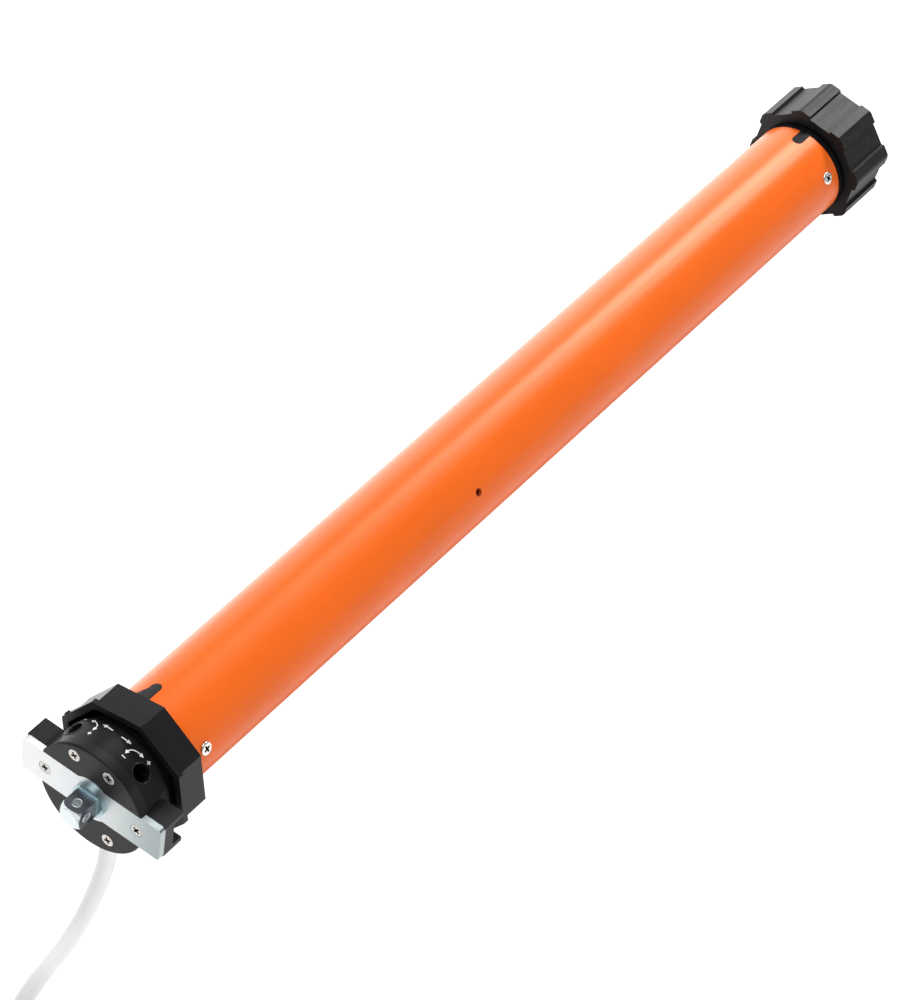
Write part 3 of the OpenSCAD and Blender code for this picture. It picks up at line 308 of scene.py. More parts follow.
def pin_with_painted_light():
    """Zinc pin with painted light: nose and hole walls painted bright as highlights, flats painted dark
    as shade, blue-green collar.
    """
    n = Nodes("zinc_pin")
    wall = PIN_HOLE_R * MM
    edge = wall + 0.12 * MM
    shift = (-PIN_HOLE_X * MM, 0, 0)
    # Painted highlight chosen by facing: faces whose normals point toward -X, the nose and front face,
    # count as lit.
    nose = n.span(n.axis("X", "Normal"), -0.10, -0.45)
    upright = n.span(n.away(shift, (1, 1, 0)), edge, wall)
    level = n.span(n.away(shift, (1, 0, 1)), edge, wall)
    hole = n.maths("MAXIMUM", upright, level)
    front = n.span(n.axis("X"), -0.0024, -0.0018, 1.0, 0.0)
    collar = n.span(front, 1.0, 0.0, 0.0, 0.5)
    cloud = n.span(n.noise(260.0, 3.0), 0.3, 0.7, -0.08, 0.08)
    # Painted highlight on the lit front and the hole walls; the rest keeps the dark flats' painted shade.
    bright = n.maths("MULTIPLY", n.maths("MAXIMUM", nose, hole), front)
    tone = n.maths("ADD", n.maths("ADD", bright, collar), cloud)
    n.colour(tone, [(0.0, (0.17, 0.185, 0.215)), (1.0, (0.68, 0.73, 0.74)), (0.5, (0.37, 0.49, 0.51))])
    gloss = n.span(nose, 0.0, 1.0, 0.30, 0.18)
    n.feed("Roughness", n.maths("ADD", gloss, n.span(hole, 0.0, 1.0, 0.0, 0.15)))
    n.feed("Metallic", n.span(hole, 0.0, 1.0, 1.0, 0.45))
    n.bump(n.noise(400.0, 2.0), 0.02, 0.02)
    return n.mat


def ribbed_nylon():
    """Black wheel plastic with faint draw lines along the axis."""
    n = Nodes("black_nylon")
    n.set(Specular_IOR_Level=0.17)
    lines = n.noise(420.0, 4.0, 0.6, stretch=(0.05, 1.0, 1.0))
    n.colour(n.noise(450.0, 6.0, 0.7), [(0.3, (0.006, 0.006, 0.006)), (0.7, (0.018, 0.0175, 0.017))])
    n.roughness(lines, 0.34, 0.52)
    n.bump(lines, 0.10, 0.05)
    return n.mat


def housing_black():
    """Black head plastic, a little paler on the two wings."""
    n = Nodes("black_housing")
    n.set(Specular_IOR_Level=0.10)
    wing = n.span(n.maths("ABSOLUTE", n.axis("Y"), 0.0), 0.0272, 0.0285)
    cloud = n.span(n.noise(CLOUD, 5.0), 0.2, 0.8, -0.12, 0.12)
    n.colour(n.maths("ADD", wing, cloud), [(0.0, (0.0085, 0.0085, 0.009)), (1.0, (0.019, 0.019, 0.0195))])
    n.grained(0.31, 0.43)
    return n.mat


def orange_paint():
    """Powder coat with a warm sheen."""
    n = Nodes("orange_powder_coat")
    base = (0.755, 0.124, 0.0115)
    n.set(Specular_IOR_Level=0.26, Specular_Tint=(1.0, 0.84, 0.60, 1.0))
    n.colour(n.noise(25.0, 4.0), [(0.3, shade(base, 0.96)), (0.7, shade(base, 1.03))])
    n.roughness(n.noise(500.0, 2.0), 0.28, 0.36)
    n.bump(n.noise(1500.0, 2.0), 0.08, 0.03)
    return n.mat


def cable_sheath():
    """White cable with painted shade: greyer along the coil that lies on the floor, toning down the full
    top light on it, paler toward the drum.
    """
    n = Nodes("white_sheath")
    # Painted shade: the colour greys toward the coil (-X) and is paler up the run to the drum.
    painted_shade_ramp = n.span(n.axis("X"), -0.055, -0.030)
    cloud = n.span(n.noise(CLOUD, 5.0), 0.2, 0.8, -0.1, 0.1)
    n.colour(n.maths("ADD", painted_shade_ramp, cloud), [(0.0, (0.70, 0.70, 0.69)), (1.0, (0.94, 0.94, 0.93))])
    n.grained(0.34, 0.46, 1200.0, 0.08)
    return n.mat


def mark_white():
    """Printed white, worn thin in small spots."""
    n = Nodes("white_mark")
    n.colour(n.noise(700.0, 4.0), [(0.25, (0.55, 0.55, 0.54)), (0.55, (0.85, 0.85, 0.84))])
    n.set(Roughness=0.55)
    n.bump(n.noise(2500.0), 0.1, 0.01)
    return n.mat


# One material for each slot of the record, and a few for single nodes
MATERIALS = {
    "orange_paint": orange_paint(),
    "black_moulding": plastic("black_moulding", (0.009, 0.009, 0.0095), 0.36, specular=0.20),
    "zinc_plate": plate_with_painted_shade(),
    "nickel_screw": metal("nickel_screw", (0.66, 0.61, 0.57), 0.26),
    "white_sheath": cable_sheath(),
    "core_sheath": plastic("core_sheath", (0.16, 0.05, 0.02), 0.35),
    "black_tie": plastic("black_tie", (0.012, 0.012, 0.012), 0.4),
    "black_rubber": plastic("black_rubber", (0.012, 0.012, 0.013), 0.62),
    "white_acetal": plastic("white_acetal", (0.70, 0.69, 0.64), 0.4),
    "red_switch": plastic("red_switch", (0.16, 0.012, 0.012), 0.42),
    "ivory_block": plastic("ivory_block", (0.62, 0.57, 0.44), 0.4),
    "white_can": plastic("white_can", (0.68, 0.68, 0.66), 0.35),
    "grey_steel": metal("grey_steel", (0.30, 0.31, 0.33), 0.4),
    "bright_steel": metal("bright_steel", (0.62, 0.63, 0.65), 0.25),
    "copper": metal("copper", (0.60, 0.25, 0.12), 0.32),
    "aluminium_cast": metal("aluminium_cast", (0.62, 0.63, 0.64), 0.42),
    "bronze": metal("bronze", (0.52, 0.34, 0.14), 0.36),
    "friction_lining": plastic("friction_lining", (0.05, 0.045, 0.04), 0.8),
}
# Adjusters deep in the limit holes, painted near-black with almost no gloss: painted shade that keeps the
# holes dark.
pit_painted_shade = plastic("pit_painted_shade", (0.003, 0.003, 0.003), 0.7, specular=0.03)
OWN_MATERIAL = {
    "square_pin": pin_with_painted_light(),
    "drive_wheel": ribbed_nylon(),
    "head_housing": housing_black(),
    "gearbox_end": plastic("black_insert", (0.006, 0.006, 0.0075), 0.45, specular=0.06),
    "adjuster_up": pit_painted_shade,
    "adjuster_down": pit_painted_shade,
}
for part in frame["record"]["subparts"]:
    own = OWN_MATERIAL.get(part["node"], MATERIALS[part["material_slot"]])
    nodes[part["node"]].data.materials.clear()
    nodes[part["node"]].data.materials.append(own)


# Softened edges on the parts in view
SOFT_EDGES = {
    "mounting_plate": 0.45, "square_pin": 0.25, "head_cover": 0.25, "head_housing": 0.25, "crown": 0.5,
    "drive_wheel": 0.4, "tube": 0.12, "gearbox_end": 0.2, "tube_adapter": 0.2,
}
SHARP_DEG = 40


def soften(name, width_mm):
    mod = bevel(nodes[name], width_mm, 2)
    mod.limit_method = "ANGLE"
    mod.angle_limit = math.radians(SHARP_DEG)
    mod.use_clamp_overlap = True
    mod.harden_normals = True


for node_name, edge_width in SOFT_EDGES.items():
    soften(node_name, edge_width)

# Cable: one curve from the drum through its coil, with a tie and four stripped cores
ROUTE = [
    (10, -3.5, -13.5), (10, -3.5, -21), (10, -3.5, -30), (9.8, -3.5, -38), (8.4, -3.6, -48),
    (4.5, -3.9, -57), (-1.6, -4.5, -65), (-9.5, -5.2, -71), (-18.6, -6, -74.8), (-28.5, -6.9, -76.4),
    (-40.4, -8.6, -77), (-52, -11.7, -77.2), (-63, -16.4, -77), (-73.5, -22.2, -76.8),
    (-83.8, -28.4, -76.6), (-90.7, -32.4, -76.6),
]
EXIT = (10, -3.5, -26.5)
EXIT_CLEAR = 0.5
ROUTE_STEPS = 4
COIL_R = 58.0
COIL_GAP = 0.6
COIL_PITCH = CABLE_D + COIL_GAP
LAYER_LOOPS = 3.25
STEPS_PER_LOOP = 48
CORE_D = 2.2
CORE_SPREAD = CORE_D * 0.62
CORE_STRAIGHT = 6
CORE_STEP_DEG = 15
CORE_FAN = 0.2
CORE_PATH_STEPS = 6
CORE_COLOURS = {
    "core_blue": (0.02, 0.09, 0.45),
    "core_brown": (0.14, 0.045, 0.018),
    "core_black": (0.014, 0.014, 0.015),
    "core_earth": (0.42, 0.40, 0.02),
}
BARE_POINTS = 5
SHEATH_T = 0.45
TIE_GAP = 0.4
TIE_T = 1.2
TIE_W = 4.5
TIE_CORNER = 2.2
TIE_CORNER_STEPS = 6
TIE_EDGE = 0.25
TIE_TURN = 150
TIE_HEAD = (6.4, 6.2, 1.8)
TIE_HEAD_LIFT = 0.9
TIE_TAIL = (5.0, TIE_W, 1.1)
TIE_TAIL_LIFT = 0.8
TIE_TAIL_SHIFT = 5.6


def smooth_path(points, steps):
    """Catmull-Rom curve through given points."""
    ends = [points[0] * 2 - points[1], *points, points[-1] * 2 - points[-2]]
    out = []
    for a, b, c, d in zip(ends, ends[1:], ends[2:], ends[3:]):
        for i in range(steps):
            t = i / steps
            out.append(0.5 * (2 * b + (c - a) * t + (2 * a - 5 * b + 4 * c - d) * t * t
                              + (3 * b - a - 3 * c + d) * t ** 3))
    return out + [points[-1]]


def route_end():
    """Last point of the route and its heading on the floor."""
    last, before = Vector(ROUTE[-1]), Vector(ROUTE[-2])
    return last, math.atan2(last.y - before.y, last.x - before.x)


def coil_points():
    """Two layers, in along the bottom and out along the top, clockwise from the route's end."""
    last, heading = route_end()
    start = last + CABLE_D * Vector((math.cos(heading), math.sin(heading), 0))
    phase = heading + math.pi / 2
    centre = start - COIL_R * Vector((math.cos(phase), math.sin(phase), 0))
    layer = round(LAYER_LOOPS * STEPS_PER_LOOP)
    climb = STEPS_PER_LOOP / 2
    out = []
    for i in range(2 * layer + 1):
        r = COIL_R - COIL_PITCH * (layer - abs(layer - i)) / STEPS_PER_LOOP
        a = phase - 2 * math.pi * i / STEPS_PER_LOOP
        rise = min(max(i - layer + climb / 2, 0), climb) / climb * COIL_PITCH
        out.append(centre + Vector((r * math.cos(a), r * math.sin(a), rise)))
    run = Vector((math.sin(a), -math.cos(a), 0))
    return centre, out, out[-1] + CABLE_D * run, run


def make_cable():
    """The cable from the grommet to its bare end, with its length in metres."""
    centre, loops, tail, run = coil_points()
    route = smooth_path([Vector(p) for p in ROUTE], ROUTE_STEPS)
    below = [p for p in route if p.z < EXIT[2] - EXIT_CLEAR]
    path = [Vector(EXIT), *below, *loops, tail]
    obj = tube_curve("supply_cable", path, CABLE_D / 2, MATERIALS["white_sheath"], 5)
    length = sum((b - a).length for a, b in zip(path, path[1:])) * MM
    return obj, length, centre, tail, run


def make_cores(centre, tail, run):
    """Four stripped cores that go on round the coil, with bare copper tips."""
    out_dir = Vector((-run.y, run.x, 0))
    start_angle = math.atan2(out_dir.y, out_dir.x)
    corners = ((-1, -1), (-1, 1), (1, -1), (1, 1))
    pieces = []
    for (u, w), (name, colour) in zip(corners, CORE_COLOURS.items()):
        lift = w * CORE_SPREAD
        shift = u * CORE_SPREAD * out_dir + Vector((0, 0, lift))
        knots = [tail + shift, tail + CORE_STRAIGHT * run + shift]
        for i in range(2, 6):
            a = start_angle - math.radians(CORE_STEP_DEG * i)
            r = COIL_R + CABLE_D / 4 + u * CORE_SPREAD * (1 + CORE_FAN * i)
            knots.append(Vector((centre.x + r * math.cos(a), centre.y + r * math.sin(a), tail.z + lift)))
        path = smooth_path(knots, CORE_PATH_STEPS)
        sheath = plastic(name, colour, 0.34, 1400.0, 0.06)
        pieces.append(tube_curve(name, path[:-BARE_POINTS], CORE_D / 2, sheath, 3))
        tip = path[-BARE_POINTS - 1:]
        pieces.append(tube_curve(name + "_tip", tip, CORE_D / 2 - SHEATH_T, MATERIALS["copper"], 3))
    return pieces


def make_tie(centre):
    """Flat nylon tie round both layers, with its ratchet head and cut tail."""
    inner = COIL_R - COIL_PITCH * LAYER_LOOPS - CABLE_D / 2 - TIE_GAP
    outer = COIL_R + CABLE_D / 2 + TIE_GAP
    low = centre.z - CABLE_D / 2 - TIE_GAP
    high = low + 2 * CABLE_D + COIL_GAP + 2 * TIE_GAP
    angle = route_end()[1] + math.pi / 2 - math.radians(TIE_TURN)
    radial = Vector((math.cos(angle), math.sin(angle), 0))
    along = Vector((-math.sin(angle), math.cos(angle), 0))
    base = Vector((centre.x, centre.y, 0))
    bm = bmesh.new()

    def at(r, z, t):
        return (base + radial * r + along * t + Vector((0, 0, z))) * MM

    def outline(grow):
        """Rounded rectangle round the coil's section, as (radius, height) pairs."""
        c = TIE_CORNER + grow
        points = []
        for r, z, start in ((outer - TIE_CORNER, high - TIE_CORNER, 0),
                            (inner + TIE_CORNER, high - TIE_CORNER, 90),
                            (inner + TIE_CORNER, low + TIE_CORNER, 180),
                            (outer - TIE_CORNER, low + TIE_CORNER, 270)):
            for i in range(TIE_CORNER_STEPS + 1):
                a = math.radians(start + 90 * i / TIE_CORNER_STEPS)
                points.append((r + c * math.cos(a), z + c * math.sin(a)))
        return points

    def block(size, r, z):
        for v in bmesh.ops.create_cube(bm, size=1.0)["verts"]:
            v.co = at(r + v.co.x * size[0], z + v.co.z * size[2], v.co.y * size[1])

    rings = [[bm.verts.new(at(r, z, t * TIE_W / 2)) for r, z in outline(grow)]
             for grow, t in ((0, -1), (0, 1), (TIE_T, 1), (TIE_T, -1))]
    bridge(bm, [*rings, rings[0]])
    middle = (inner + outer) / 2
    block(TIE_HEAD, middle, high + TIE_T + TIE_HEAD_LIFT)
    block(TIE_TAIL, middle + TIE_TAIL_SHIFT, high + TIE_T + TIE_TAIL_LIFT)
    obj = mesh_object("coil_tie", bm, 35)
    bevel(obj, TIE_EDGE, 2)
    obj.data.materials.append(MATERIALS["black_tie"])
    return obj


cable, cable_length, coil_centre, cable_tail, cable_run = make_cable()
tie = make_tie(coil_centre)
dress(tie, "black_tie", "cable_tie")
cores = make_cores(coil_centre, cable_tail, cable_run)
for core in cores:
    dress(core, "copper" if core.name.endswith("_tip") else "core_sheath", "cable_cores")
dress(cable, "white_sheath", "cable", "cable_coil")

# Screws: turned profiles are (radius, height) pairs; a cross is its arm's length and its depth
FLAT_HEAD = [(1.3, -2.0), (2.85, -0.55), (2.95, -0.42), (2.95, -0.16), (2.88, -0.04), (2.75, 0.0)]
DOME_HEAD = [(3.0, 0.0), (3.0, 0.40), (2.92, 0.58), (2.7, 0.76), (2.3, 0.86), (2.0, 0.88)]
PAN_HEAD = [(4.5, 0.0), (4.5, 1.5), (4.35, 2.2), (3.9, 2.8), (3.2, 3.12), (2.6, 3.2)]
WASHER = [(2.3, -0.02), (7.7, -0.02), (8.0, 0.2), (8.0, 1.0), (7.75, 1.2), (4.3, 1.2), (2.3, 1.2)]
WASHER_T = 1.2
RETAINER_X = 535.0
RETAINER_TURN = 0.5
CROSS_HALF_W = 0.50
CROSS_FLOOR_HALF_W = 0.34
CROSS_TAPER = 0.62
FLAT_CROSS = (1.75, 1.3)
DOME_CROSS = (1.7, 0.85)
PAN_CROSS = (2.3, 1.7)
SCREW_SIDES = 40
WASHER_SIDES = 64


def cross_outline(arm, half_w):
    """Corner points of a plus sign, counter-clockwise."""
    quarter = [(arm, -half_w), (arm, half_w), (half_w, half_w)]
    return [(x * c - y * s, x * s + y * c)
            for c, s in ((1, 0), (0, 1), (-1, 0), (0, -1)) for x, y in quarter]


def screw_mesh(bm, place, profile, arm, depth):
    """Turned head with a cross recess that narrows as it deepens and takes the second material, a
    near-black painted shade.
    """
    rings = turned(bm, place, profile, SCREW_SIDES)
    bridge(bm, rings)
    top_z = profile[-1][1]
    edge = [bm.verts.new(place @ Vector((x, y, top_z))) for x, y in cross_outline(arm, CROSS_HALF_W)]
    deep = [bm.verts.new(place @ Vector((x, y, top_z - depth)))
            for x, y in cross_outline(arm * CROSS_TAPER, CROSS_FLOOR_HALF_W)]
    edges = []
    for loop in (rings[-1], edge):
        for pair in zip(loop, loop[1:] + loop[:1]):
            edges.append(bm.edges.get(pair) or bm.edges.new(pair))
    bmesh.ops.triangle_fill(bm, use_beauty=True, use_dissolve=False, edges=edges)
    for face in (*bridge(bm, [edge, deep]), bm.faces.new(deep)):
        face.material_index = 1


def front_place(y, z, turn):
    """Frame on the head's front face, Z out of it, in millimetres."""
    return (Matrix.Translation(Vector((0, y, z)) * MM) @ Matrix.Rotation(-math.pi / 2, 4, "Y")
            @ Matrix.Rotation(math.radians(turn), 4, "Z") @ Matrix.Scale(MM, 4))


def tube_place(x, angle, turn):
    """Frame on the tube's side, Z out of it, in millimetres."""
    return (Matrix.Rotation(math.radians(angle), 4, "X") @ Matrix.Translation(Vector((x, 0, TUBE_R)) * MM)
            @ Matrix.Rotation(math.radians(turn), 4, "Z") @ Matrix.Scale(MM, 4))


def make_screws():
    """Screws of plate, cover and tube, each group as one piece."""
    # Second material of the screws: their cross recesses painted near-black as shade.
    recess = plastic("screw_recess_shade", (0.006, 0.006, 0.006), 0.6, specular=0.08)
    bright = metal("bright_screw", (0.82, 0.78, 0.73), 0.22)
    zinc = metal("zinc_screw", (0.62, 0.61, 0.58), 0.28)
    flat = (FLAT_HEAD, *FLAT_CROSS)
    dome = (DOME_HEAD, *DOME_CROSS)
    groups = (
        ("plate_screws", zinc, flat, [front_place(24, 0, 20), front_place(-24, 0, 52)]),
        ("cover_screws", MATERIALS["nickel_screw"], flat, [
            front_place(9.6, 19.5, 33), front_place(-8.2, 19.6, 12), front_place(10, -18.4, 58),
            front_place(-10, -18.4, 25)]),
        ("tube_screws", bright, dome, [tube_place(45.7, 69, 18), tube_place(504.3, 57.8, 40)]),
    )
    for name, material, head, places in groups:
        bm = bmesh.new()
        for place in places:
            screw_mesh(bm, place, *head)
        obj = mesh_object(name + "_turned", bm, 30)
        obj.data.materials.append(material)
        obj.data.materials.append(recess)
        dress(obj, "nickel_screw", name)


def make_retainer():
    """Washer and pan head screw that keep the drive wheel on its square."""
    place = (Matrix.Translation(Vector((RETAINER_X, 0, 0)) * MM) @ Matrix.Rotation(math.pi / 2, 4, "Y")
             @ Matrix.Scale(MM, 4))
    on_washer = place @ Matrix.Translation((0, 0, WASHER_T)) @ Matrix.Rotation(RETAINER_TURN, 4, "Z")
    bm = bmesh.new()
    screw_mesh(bm, on_washer, PAN_HEAD, *PAN_CROSS)
    screw = mesh_object("wheel_retainer_screw", bm, 30)
    screw.data.materials.append(MATERIALS["nickel_screw"])
    # Second material: the cross recess painted near-black as shade.
    screw.data.materials.append(plastic("retainer_recess_shade", (0.012, 0.012, 0.012), 0.6))
    bm = bmesh.new()
    rings = turned(bm, place, WASHER, WASHER_SIDES)
    bridge(bm, [*rings, rings[0]])
    washer = mesh_object("wheel_retainer_washer", bm, 30)
    washer.data.materials.append(MATERIALS["bright_steel"])
    dress(screw, "nickel_screw", "wheel_retainer", body="output_drive")
    dress(washer, "bright_steel", "wheel_retainer", body="output_drive")


make_screws()
make_retainer()

# Small moulded forms: corners of the key's flare are (x, angle) pairs on the tube
KEY_ROOT = [(37.05, -24.5), (46.0, -24.8), (43.2, -29.5), (37.05, -41.0)]
KEY_ROOT_R = (22.8, 23.12)
KEY_ROOT_STEPS = 6
NUB_AT = Vector((21.2, 9.3, 31.27))
NUB_SIZE = (1.8, 2.6, 0.9)
NUB_FACE = -55.5
NUB_EDGE = 0.25


def make_key_root():
    """Flare where the near key leaves the head: a low block on the tube."""
    bm = bmesh.new()
    steps = KEY_ROOT_STEPS
    a, b, c, d = (Vector(q) for q in KEY_ROOT)

    def vertex(i, j, r):
        q = a.lerp(b, i / steps).lerp(d.lerp(c, i / steps), j / steps)
        return bm.verts.new(round_point(r, q.x, q.y) * MM)

    low, high = ([[vertex(i, j, r) for j in range(steps + 1)] for i in range(steps + 1)]
                 for r in KEY_ROOT_R)
    for layer in (low, high):
        for i in range(steps):
            for j in range(steps):
                bm.faces.new((layer[i][j], layer[i + 1][j], layer[i + 1][j + 1], layer[i][j + 1]))
    rim = ([(i, 0) for i in range(steps)] + [(steps, j) for j in range(steps)]
           + [(steps - i, steps) for i in range(steps)] + [(0, steps - j) for j in range(steps)])
    bridge(bm, [[layer[i][j] for i, j in rim] for layer in (low, high)])
    obj = mesh_object("near_key_root", bm, 35)
    obj.data.materials.append(MATERIALS["black_moulding"])
    dress(obj, "black_moulding")


def make_crown_nub():
    """Moulding nub on the crown's front rim."""
    bm = bmesh.new()
    turn = Matrix.Rotation(math.radians(NUB_FACE), 4, "X")
    for v in bmesh.ops.create_cube(bm, size=1.0)["verts"]:
        offset = Vector([at * size for at, size in zip(v.co, NUB_SIZE)])
        v.co = turn @ ((NUB_AT + offset) * MM)
    obj = mesh_object("crown_nub", bm)
    bevel(obj, NUB_EDGE, 3)
    obj.data.materials.append(MATERIALS["black_moulding"])
    dress(obj, "black_moulding", body="crown")


make_key_root()
make_crown_nub()

# Setting marks on the drum, drawn on the unrolled drum as (x, angle) pairs and wrapped round it
MARK_LIFT = 0.05
MARK_STEP = 0.5
STRAIGHT_ARROWS = (((15.3, -6.0), (15.8, -18.0)), ((15.0, 3.9), (15.4, 14.7)))
BENT_ARROWS = (((10.75, -20.8), (14.7, -22.4), (16.2, -32.5)), ((10.1, 16.8), (13.9, 19.3), (15.1, 30.1)))
PLUS_SIGNS = ((8.9, -20.3), (15.5, 36.1))
MINUS_SIGNS = ((16.7, -41.6), (8.6, 18.1))
SIGN_HALF = 0.95
SIGN_W = 0.45
STRAIGHT_HEAD = (2.2, 2.0)
STRAIGHT_W = 0.62
BENT_HEAD = (1.9, 1.9)
BENT_W = 0.5
BEND_STEPS = 10
HEAD_ROWS = 4
SHAFT_STARTS = 0.8


def flat_to_drum(p):
    """(x, arc length) in millimetres on the unrolled drum to a point just above it."""
    x, arc = p
    return round_point(drum_radius(x) + MARK_LIFT, x, math.degrees(arc / DRUM_MEAN_R)) * MM


def unrolled(x, angle):
    return Vector((x, math.radians(angle) * DRUM_MEAN_R))


def stroke(bm, points, width):
    """Flat ribbon along points of the unrolled drum."""
    fine = []
    for a, b in zip(points, points[1:]):
        steps = max(1, math.ceil((b - a).length / MARK_STEP))
        fine += [a.lerp(b, i / steps) for i in range(steps)]
    fine.append(points[-1])
    left, right = [], []
    for i, p in enumerate(fine):
        run = (fine[min(i + 1, len(fine) - 1)] - fine[max(i - 1, 0)]).normalized()
        side = Vector((-run.y, run.x)) * width / 2
        left.append(bm.verts.new(flat_to_drum(p + side)))
        right.append(bm.verts.new(flat_to_drum(p - side)))
    for i in range(len(fine) - 1):
        bm.faces.new((left[i], left[i + 1], right[i + 1], right[i]))


def arrow_head(bm, tip, run, length, width):
    """Triangle in rows behind its tip; returns the point where the shaft joins it."""
    run = run.normalized()
    side = Vector((-run.y, run.x)) * width / 2
    last = [bm.verts.new(flat_to_drum(tip))]
    for i in range(1, HEAD_ROWS + 1):
        t = i / HEAD_ROWS
        p = tip - run * length * t
        pair = [bm.verts.new(flat_to_drum(q)) for q in (p + side * t, p - side * t)]
        bm.faces.new((*last, *reversed(pair)))
        last = pair
    return tip - run * length * SHAFT_STARTS


def bowed(a, b, c):
    """Points of a curve from a to c that passes near b."""
    ctrl = b * 2 - (a + c) / 2
    return [(a * (1 - t) + ctrl * t) * (1 - t) + (ctrl * (1 - t) + c * t) * t
            for t in (i / BEND_STEPS for i in range(BEND_STEPS + 1))]


def make_marks():
    """White arrows and signs as one printed piece."""
    bm = bmesh.new()
    for ends in STRAIGHT_ARROWS:
        a, b = (unrolled(*p) for p in ends)
        stroke(bm, [a, arrow_head(bm, b, b - a, *STRAIGHT_HEAD)], STRAIGHT_W)
    for knots in BENT_ARROWS:
        curve = bowed(*(unrolled(*p) for p in knots))
        head_a = arrow_head(bm, curve[0], curve[0] - curve[2], *BENT_HEAD)
        head_b = arrow_head(bm, curve[-1], curve[-1] - curve[-3], *BENT_HEAD)
        stroke(bm, [head_a, *curve[2:-2], head_b], BENT_W)
    round_drum, along_drum = Vector((0, SIGN_HALF)), Vector((SIGN_HALF, 0))
    bars = [(p, round_drum) for p in PLUS_SIGNS + MINUS_SIGNS] + [(p, along_drum) for p in PLUS_SIGNS]
    for place, half in bars:
        p = unrolled(*place)
        stroke(bm, [p - half, p + half], SIGN_W)
    obj = mesh_object("setting_marks", bm)
    obj.data.materials.append(mark_white())
    dress(obj, "white_sheath")


make_marks()

# Rims: rounded or drilled edges of holes, each a thin closed ring
LIMIT_HOLE_X = 10.0
LIMIT_RIM_R = 4.22
LIMIT_RIM_SINK = 0.06
LIMIT_RIM_SIDES = 56
LIMIT_RIMS = (("limit_rim_up", -42.5, 0.34), ("limit_rim_down", 38.5, 0.24))
SIDE_HOLE_X = 231.5
SIDE_HOLE_ANGLE = 58.8
SIDE_RIM_R = 1.62
SIDE_RIM_T = 0.16
SIDE_RIM_SINK = 0.05
SIDE_RIM_SIDES = 32
PIN_RIM_R = 2.12
PIN_RIM_T = 0.20
PIN_RIM_SIDES = 40
PIN_RIMS = (("pin_rim_top", 0), ("pin_rim_right", 90), ("pin_rim_low", 180), ("pin_rim_left", 270))


def wrapped_ring(x0, angle, ring_r, mean_r, radius_at, sides):
    """Circle laid round the motor's axis, on a surface whose radius depends on x."""
    path = []
    for t in circle(sides):
        x = x0 + ring_r * math.cos(t)
        path.append(round_point(radius_at(x), x, angle + math.degrees(ring_r * math.sin(t) / mean_r)))
    return path


def make_limit_rims():
    """Rounded rims round the two limit setting holes."""
    rim = plastic("black_rim", (0.012, 0.012, 0.0125), 0.34, specular=0.26)
    for name, angle, thick in LIMIT_RIMS:
        path = wrapped_ring(LIMIT_HOLE_X, angle, LIMIT_RIM_R, DRUM_MEAN_R,
                            lambda x: drum_radius(x) - LIMIT_RIM_SINK, LIMIT_RIM_SIDES)
        dress(tube_curve(name, path, thick, rim, closed=True), "black_moulding")


def make_side_hole_rim():
    """Thin dark ring round the drilled edge of the small hole in the tube's side."""
    edge = plastic("dark_hole_edge", (0.030, 0.012, 0.007), 0.5, specular=0.1)
    path = wrapped_ring(SIDE_HOLE_X, SIDE_HOLE_ANGLE, SIDE_RIM_R, TUBE_R,
                        lambda x: TUBE_R - SIDE_RIM_SINK, SIDE_RIM_SIDES)
    dress(tube_curve("side_hole_rim", path, SIDE_RIM_T, edge, closed=True), "grey_steel")


def make_pin_rims():
    """Rounded rims of the square pin's crossing holes."""
    polished = metal("zinc_rim", (0.86, 0.90, 0.91), 0.20)
    for name, turn in PIN_RIMS:
        spin = Matrix.Rotation(math.radians(turn), 3, "X")
        path = [spin @ Vector((PIN_HOLE_X + PIN_RIM_R * math.cos(t), PIN_RIM_R * math.sin(t), PIN_HALF))
                for t in circle(PIN_RIM_SIDES)]
        dress(tube_curve(name, path, PIN_RIM_T, polished, closed=True), "zinc_plate")


make_limit_rims()
make_side_hole_rim()
make_pin_rims()

# Floor and light, in metres: the floor glows more to the left of the tube
FLOOR_HALF = 4.0
FLOOR_GLOW = 0.82
LEFT_GLOW = 2.0
GLOW_Y = (0.07, 0.14)
GLOW_X = (0.0, 0.08)
CARD_X = (0.02, 0.64)
CARD_Y = (-0.038, 0.02)
CARD_LIFT_MM = 2
MIDDLE = (0.25, 0.0, 0.0)


def sheet(name, x, y, z_mm, material):
    """Flat stage piece between two values of x and two of y."""
    corners = ((x[0], y[0]), (x[1], y[0]), (x[1], y[1]), (x[0], y[1]))
    bm = bmesh.new()
    bm.faces.new([bm.verts.new((*corner, z_mm * MM)) for corner in corners])
    obj = mesh_object(name, bm)
    obj.data.materials.append(material)
    return obj


def make_floor():
    n = Nodes("pale_floor")
    n.colour(n.noise(3.0), [(0.3, (0.33, 0.33, 0.33)), (0.7, (0.36, 0.36, 0.36))])
    n.set(Roughness=0.9, Specular_IOR_Level=0.1, Emission_Color=(1, 1, 1, 1))
    left = n.maths("MULTIPLY", n.span(n.axis("Y"), *GLOW_Y), n.span(n.axis("X"), *GLOW_X))
    n.feed("Emission Strength", n.span(left, 0.0, 1.0, FLOOR_GLOW, LEFT_GLOW))
    span = (-FLOOR_HALF, FLOOR_HALF)
    sheet("floor", span, span, FLOOR_Z, n.mat)


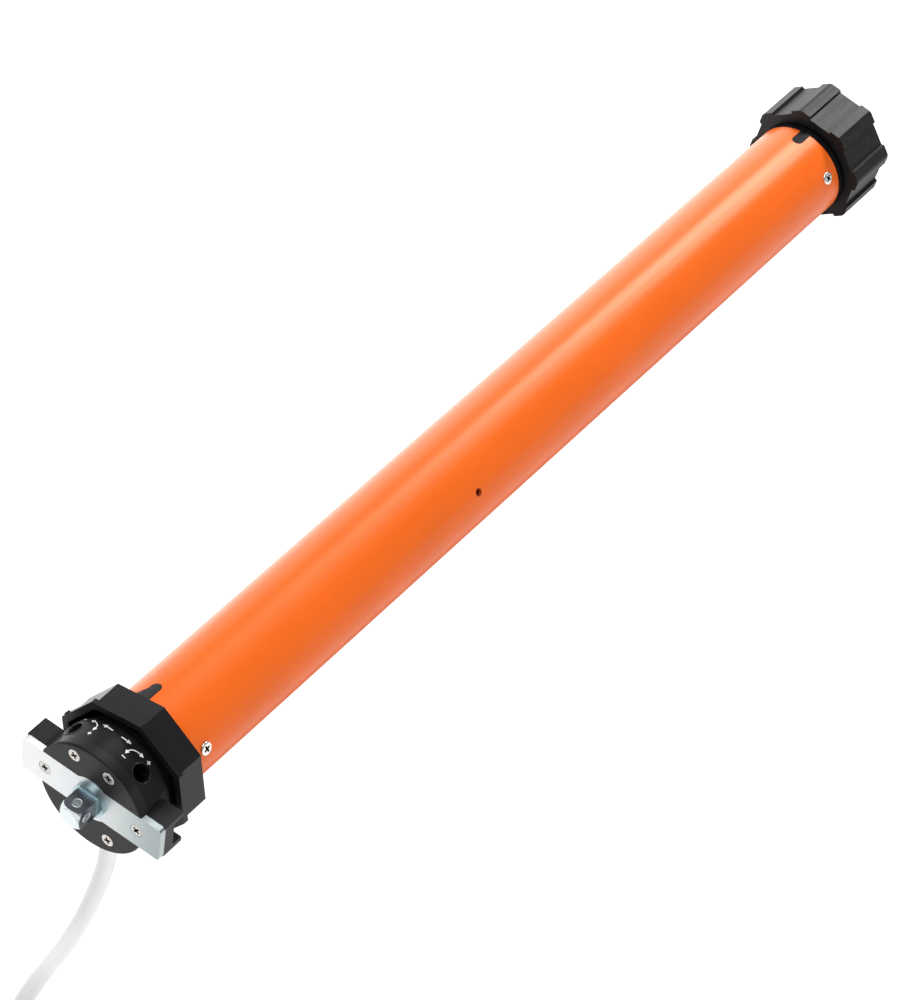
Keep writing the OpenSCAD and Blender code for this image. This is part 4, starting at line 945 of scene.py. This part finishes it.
def make_shade_card():
    """Grey card under the tube, seen only in reflections, so that the tube's lower edge stays crisp: it
    paints a darker reflection there, as from shaded floor beneath the tube.
    """
    n = Nodes("reflection_shade_grey")
    n.colour(n.noise(40.0), [(0.3, (0.28, 0.27, 0.26)), (0.7, (0.32, 0.31, 0.30))])
    n.set(Roughness=0.9, Specular_IOR_Level=0.0)
    obj = sheet("reflection_shade_card", CARD_X, CARD_Y, FLOOR_Z + CARD_LIFT_MM, n.mat)
    for kind in ("camera", "diffuse", "transmission", "volume_scatter", "shadow"):
        setattr(obj, "visible_" + kind, False)


def area_light(name, at, aim, size, power, size_y=None):
    data = bpy.data.lights.new(name, "AREA")
    data.energy = power
    data.size = size
    if size_y:
        data.shape = "RECTANGLE"
        data.size_y = size_y
    obj = add_object(name, data)
    obj.location = at
    obj.rotation_euler = (Vector(aim) - Vector(at)).to_track_quat("-Z", "Y").to_euler()
    return obj


def make_sky():
    """Even grey world that darkens toward the zenith."""
    world = bpy.data.worlds.new("studio")
    world.use_nodes = True
    scene.world = world
    tree = world.node_tree
    back = tree.nodes["Background"]
    back.inputs["Strength"].default_value = 1.0
    coords = tree.nodes.new("ShaderNodeTexCoord")
    split = tree.nodes.new("ShaderNodeSeparateXYZ")
    sky = tree.nodes.new("ShaderNodeValToRGB")
    horizon, zenith = sky.color_ramp.elements
    horizon.position = 0.0
    horizon.color = (0.55, 0.55, 0.55, 1.0)
    zenith.position = 0.75
    zenith.color = (0.10, 0.10, 0.11, 1.0)
    tree.links.new(coords.outputs["Generated"], split.inputs["Vector"])
    tree.links.new(split.outputs["Z"], sky.inputs["Fac"])
    tree.links.new(sky.outputs["Color"], back.inputs["Color"])


def make_lights():
    area_light("top_box", (-0.3, 0.45, 2.2), MIDDLE, 2.4, 44.0)
    area_light("left_box", (2.3, 1.9, 0.55), MIDDLE, 1.6, 22.0)
    area_light("far_strip", (1.95, 0.43, 1.5), (0.4, 0.0, 0.0), 1.1, 46.0, 0.40)
    fill = area_light("right_fill", (0.25, -1.8, 0.7), MIDDLE, 1.5, 11.5)
    fill.visible_glossy = False


make_floor()
make_shade_card()
make_sky()
make_lights()
